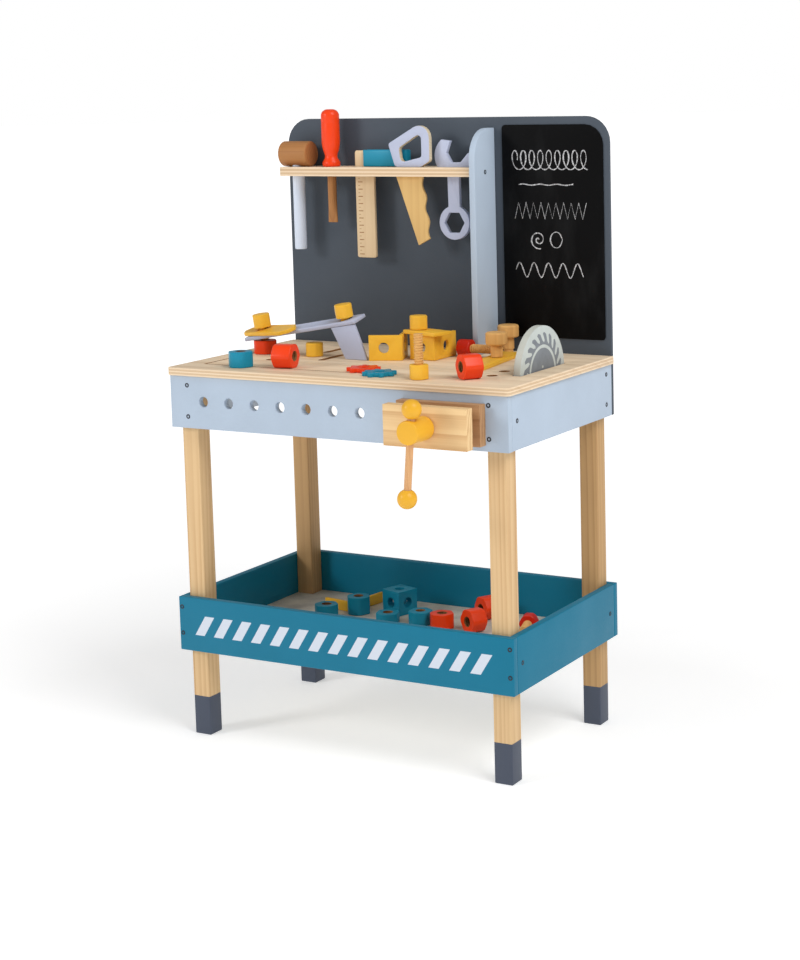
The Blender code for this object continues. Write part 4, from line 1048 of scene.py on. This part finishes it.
def make_bolt(shank_length, paint, shank_paint=None):
    """A rounded head on a threaded shank. The origin is under the head."""
    head = hexagon("bolt_master", HEAD_FLATS, HEAD_HEIGHT, 0.0040, 0.0016)
    move(head, Matrix.Translation((0, 0, HEAD_HEIGHT / 2)))
    shank = threaded_rod("bolt_shank", 0.0050, 0.0060, 0.0032, shank_length + 0.004)
    move(shank, Matrix.Translation((0, 0, -shank_length)))
    head_faces = len(head.data.polygons)
    join(head, shank)
    for face in head.data.polygons:
        face.material_index = 0 if face.index < head_faces else 1
    return finish(head, paint, shank_paint or paint)


def lay(piece, node, matrix):
    """Puts a nut or bolt in the place of its CAD node."""
    piece.name = node + "_shown"
    piece.data.name = piece.name
    return stand_for(move(piece, matrix), node)


def turn(x=0.0, y=0.0, z=0.0):
    return Matrix.Rotation(z, 4, "Z") @ Matrix.Rotation(y, 4, "Y") @ Matrix.Rotation(x, 4, "X")


def at_middle(node):
    return Matrix.Translation(middle(node)[0])


def make_loose():
    """The toy pieces that lie on the worktop."""
    way = turn(z=math.radians(14))
    lay(make_nut(0.020, M["teal_toy"]), "blue_nut", at_middle("blue_nut") @ way)
    way = turn(QUARTER, 0, math.radians(98))
    lay(make_nut(0.026, M["red"]), "red_nut", at_middle("red_nut") @ way)
    way = turn(QUARTER, 0, math.radians(-36))
    lay(make_nut(0.024, M["red"]), "orange_nut", at_middle("orange_nut") @ way)
    centre, low, high = middle("hole_bolt")
    spot = Matrix.Translation((centre[0], centre[1], high[2] - HEAD_HEIGHT))
    lay(make_bolt(0.022, M["yellow"]), "hole_bolt", spot)
    centre, low, high = middle("upturned_bolt")
    bolt = make_bolt(high[2] - low[2] - HEAD_HEIGHT, M["yellow"], M["peg_wood"])
    spot = Matrix.Translation((centre[0], centre[1], low[2] + HEAD_HEIGHT))
    lay(bolt, "upturned_bolt", spot @ turn(math.pi, 0, math.radians(12)))
    centre, low, high = middle("red_bolt")
    bolt = make_bolt(high[0] - low[0] - HEAD_HEIGHT, M["dark_red"], M["peg_wood"])
    spot = Matrix.Translation((low[0] + HEAD_HEIGHT, centre[1], centre[2]))
    lay(bolt, "red_bolt", spot @ turn(-QUARTER, 0, QUARTER))
    eased("red_gear", 0.0010, M["red"], steps=3)
    eased("blue_gear", 0.0010, M["teal_toy"], steps=3)
    eased("yellow_rail", 0.0009, M["yellow"])
    for name in ("wooden_peg_front", "wooden_peg_back"):
        make_peg(name)


def make_peg(name):
    """A mushroom-headed peg of bare wood, its head's rim well rounded."""
    centre, low, high = middle(name)
    height = high[2] - low[2]
    head = (high[0] - low[0]) / 2
    edge = 0.0026
    under = 0.0210
    neck = 0.0078
    foot = 0.0064
    top_rim = arc((head - edge, height - edge), edge, 86, 0, 5)
    low_rim = arc((head - edge, under + edge), edge, 0, -90, 4)
    profile = [(0, height), (head * 0.6, height - 0.0002), *top_rim, *low_rim]
    profile += [(0.0085, under), (neck, under - 0.0007), (neck, 0.0060), (0.0074, 0.0056)]
    profile += [(foot, 0.0056), (foot, 0.0006), (0.0058, 0), (0, 0)]
    piece = turned_piece(name + "_shown", profile, 48)
    move(piece, Matrix.Translation((centre[0], centre[1], low[2])))
    stand_for(finish(piece, M["peg_wood"]), name)


def bolt_like(node, way, paint):
    """A model's bolt, its head put where the plain one is, with its axis turned this way."""
    points = [v.co for v in frame["nodes"][node].data.vertices]
    axis = way.to_3x3() @ Vector((0, 0, 1))
    top = max(p.dot(axis) for p in points)
    foot = min(p.dot(axis) for p in points)
    rim = [p for p in points if p.dot(axis) > top - 0.0005]
    centre = sum(rim, Vector()) / len(rim)
    piece = make_bolt(top - foot - HEAD_HEIGHT, paint)
    spot = Matrix.Translation(centre - axis * HEAD_HEIGHT)
    lay(piece, node, spot @ way @ turn(z=math.radians(8)))


def make_models():
    """The two models that are bolted together: a crane and a bracket."""
    roll = math.radians(12)
    rise = math.radians(10)
    lean = turn(roll, -rise) @ turn(-roll / 2, rise / 2)
    low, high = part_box("crane_nut")
    nut = make_nut(high[2] - low[2], M["red"])
    lay(nut, "crane_nut", at_middle("crane_nut") @ turn(z=math.radians(10)))
    eased("crane_beam", 0.0010, M["tool_blue"])
    eased("crane_strip", 0.0010, M["yellow"])
    eased("crane_leg", 0.0008, M["tool_blue"])
    for name in ("crane_bolt_front", "crane_bolt_back"):
        bolt_like(name, lean, M["yellow"])
    for name in ("bracket_left", "bracket_right", "bracket_plate"):
        eased(name, 0.0008, M["yellow"])
    bolt_like("bracket_bolt", turn(), M["yellow"])


def make_tray_load():
    """The toy pieces lying in the tray."""
    eased("tray_cube", 0.0016, M["teal_toy"], steps=3)
    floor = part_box("tray_floor")[1][2] + 0.0003
    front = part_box("worktop")[0][1]

    def put(piece, name, x, distance, lift, way):
        piece.name = name
        piece.data.name = name
        move(piece, Matrix.Translation((x, front + distance, floor + lift)) @ way)
        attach(piece, "bench")

    blue = M["teal_toy"]
    red = M["red"]
    put(make_nut(0.020, blue), "tray_blue_nut_left", -0.123, 0.160, 0.010, turn(z=0.3))
    put(make_nut(0.024, blue), "tray_blue_nut_middle", -0.097, 0.200, 0.012, turn(z=0.1))
    put(make_nut(0.014, blue), "tray_blue_nut_low", -0.036, 0.176, 0.007, turn(z=0.8))
    put(make_nut(0.018, blue), "tray_blue_nut_right", 0.008, 0.188, 0.009, turn(z=0.5))
    put(make_nut(0.020, red), "tray_red_nut_flat", 0.044, 0.183, 0.010, turn(z=0.2))
    put(make_nut(0.022, red), "tray_red_nut_front", 0.092, 0.184, 0.015, turn(QUARTER, 0, -0.45))
    put(make_nut(0.022, red), "tray_red_nut_back", 0.078, 0.247, 0.015, turn(QUARTER, 0, -0.5))
    bolt = make_bolt(0.030, M["dark_red"], M["peg_wood"])
    put(bolt, "tray_red_bolt", 0.160, 0.206, HEAD_FLATS / 2, turn(-QUARTER, 0, 0.3))
    angle = join(
        primitive("cube", "tray_angle", size=1, scale=(0.047, 0.005, 0.014), location=(-0.0235, 0, 0)),
        primitive("cube", "tray_angle_leg", size=1, scale=(0.005, 0.062, 0.014), location=(0, 0.033, 0)),
    )
    put(finish(ease(angle, 0.0007), M["yellow"]), "tray_angle", -0.108, 0.200, 0.007, turn(z=-0.15))


# Stage


def make_stage():
    """A white paper floor, even pale light all round, and two soft lamps."""
    floor = primitive("plane", "studio_floor", size=120, location=(0, 20, 0))
    finish(floor, floor_white())
    world = bpy.data.worlds.new("studio")
    bpy.context.scene.world = world
    world.use_nodes = True
    tree = world.node_tree
    soft = tree.nodes["Background"]
    soft.inputs[0].default_value = (1, 1, 1, 1)
    soft.inputs[1].default_value = 0.37
    white = tree.nodes.new("ShaderNodeBackground")
    white.inputs[0].default_value = (1, 1, 1, 1)
    seen = tree.nodes.new("ShaderNodeLightPath")
    either = tree.nodes.new("ShaderNodeMixShader")
    tree.links.new(seen.outputs["Is Camera Ray"], either.inputs[0])
    tree.links.new(soft.outputs[0], either.inputs[1])
    tree.links.new(white.outputs[0], either.inputs[2])
    tree.links.new(either.outputs[0], tree.nodes["World Output"].inputs[0])
    lamp("left_light", (-2.0, -2.5, 1.8), 0.9, 34)
    lamp("right_light", (2.2, -0.7, 2.9), 1.8, 62)
    bpy.context.scene.view_settings.view_transform = "Standard"


def lamp(name, spot, size, power):
    """A square soft lamp that faces the bench's middle."""
    light = bpy.data.lights.new(name, "AREA")
    light.size = size
    light.energy = power
    made = bpy.data.objects.new(name, light)
    made.location = spot
    made.rotation_euler = (Vector((0, 0, 0.4)) - Vector(spot)).to_track_quat("-Z", "Y").to_euler()
    bpy.context.scene.collection.objects.link(made)


def make_camera():
    """Stands to the right, a little above the worktop, and looks slightly down."""
    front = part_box("worktop")[0][1]
    seen = bpy.data.cameras.new("camera")
    seen.lens = 73.39
    seen.sensor_width = 36
    seen.shift_x = -0.125
    seen.shift_y = -0.1354
    seen.clip_end = 50
    made = bpy.data.objects.new("camera", seen)
    bpy.context.scene.collection.objects.link(made)
    aim = (
        Matrix.Rotation(math.radians(27.93), 4, "Z")
        @ Matrix.Rotation(math.radians(90 - 7.76), 4, "X")
        @ Matrix.Rotation(math.radians(-1.14), 4, "Z")
    )
    made.matrix_world = Matrix.Translation((1.32134, front - 1.99095, 0.8432)) @ aim
    bpy.context.scene.camera = made


make_camera()
make_frame()
make_worktop()
make_screws()
make_chalk_marks()
make_vise()
make_saw()
make_mallet()
make_screwdriver()
make_flat_tools()
make_loose()
make_models()
make_tray_load()
make_stage()
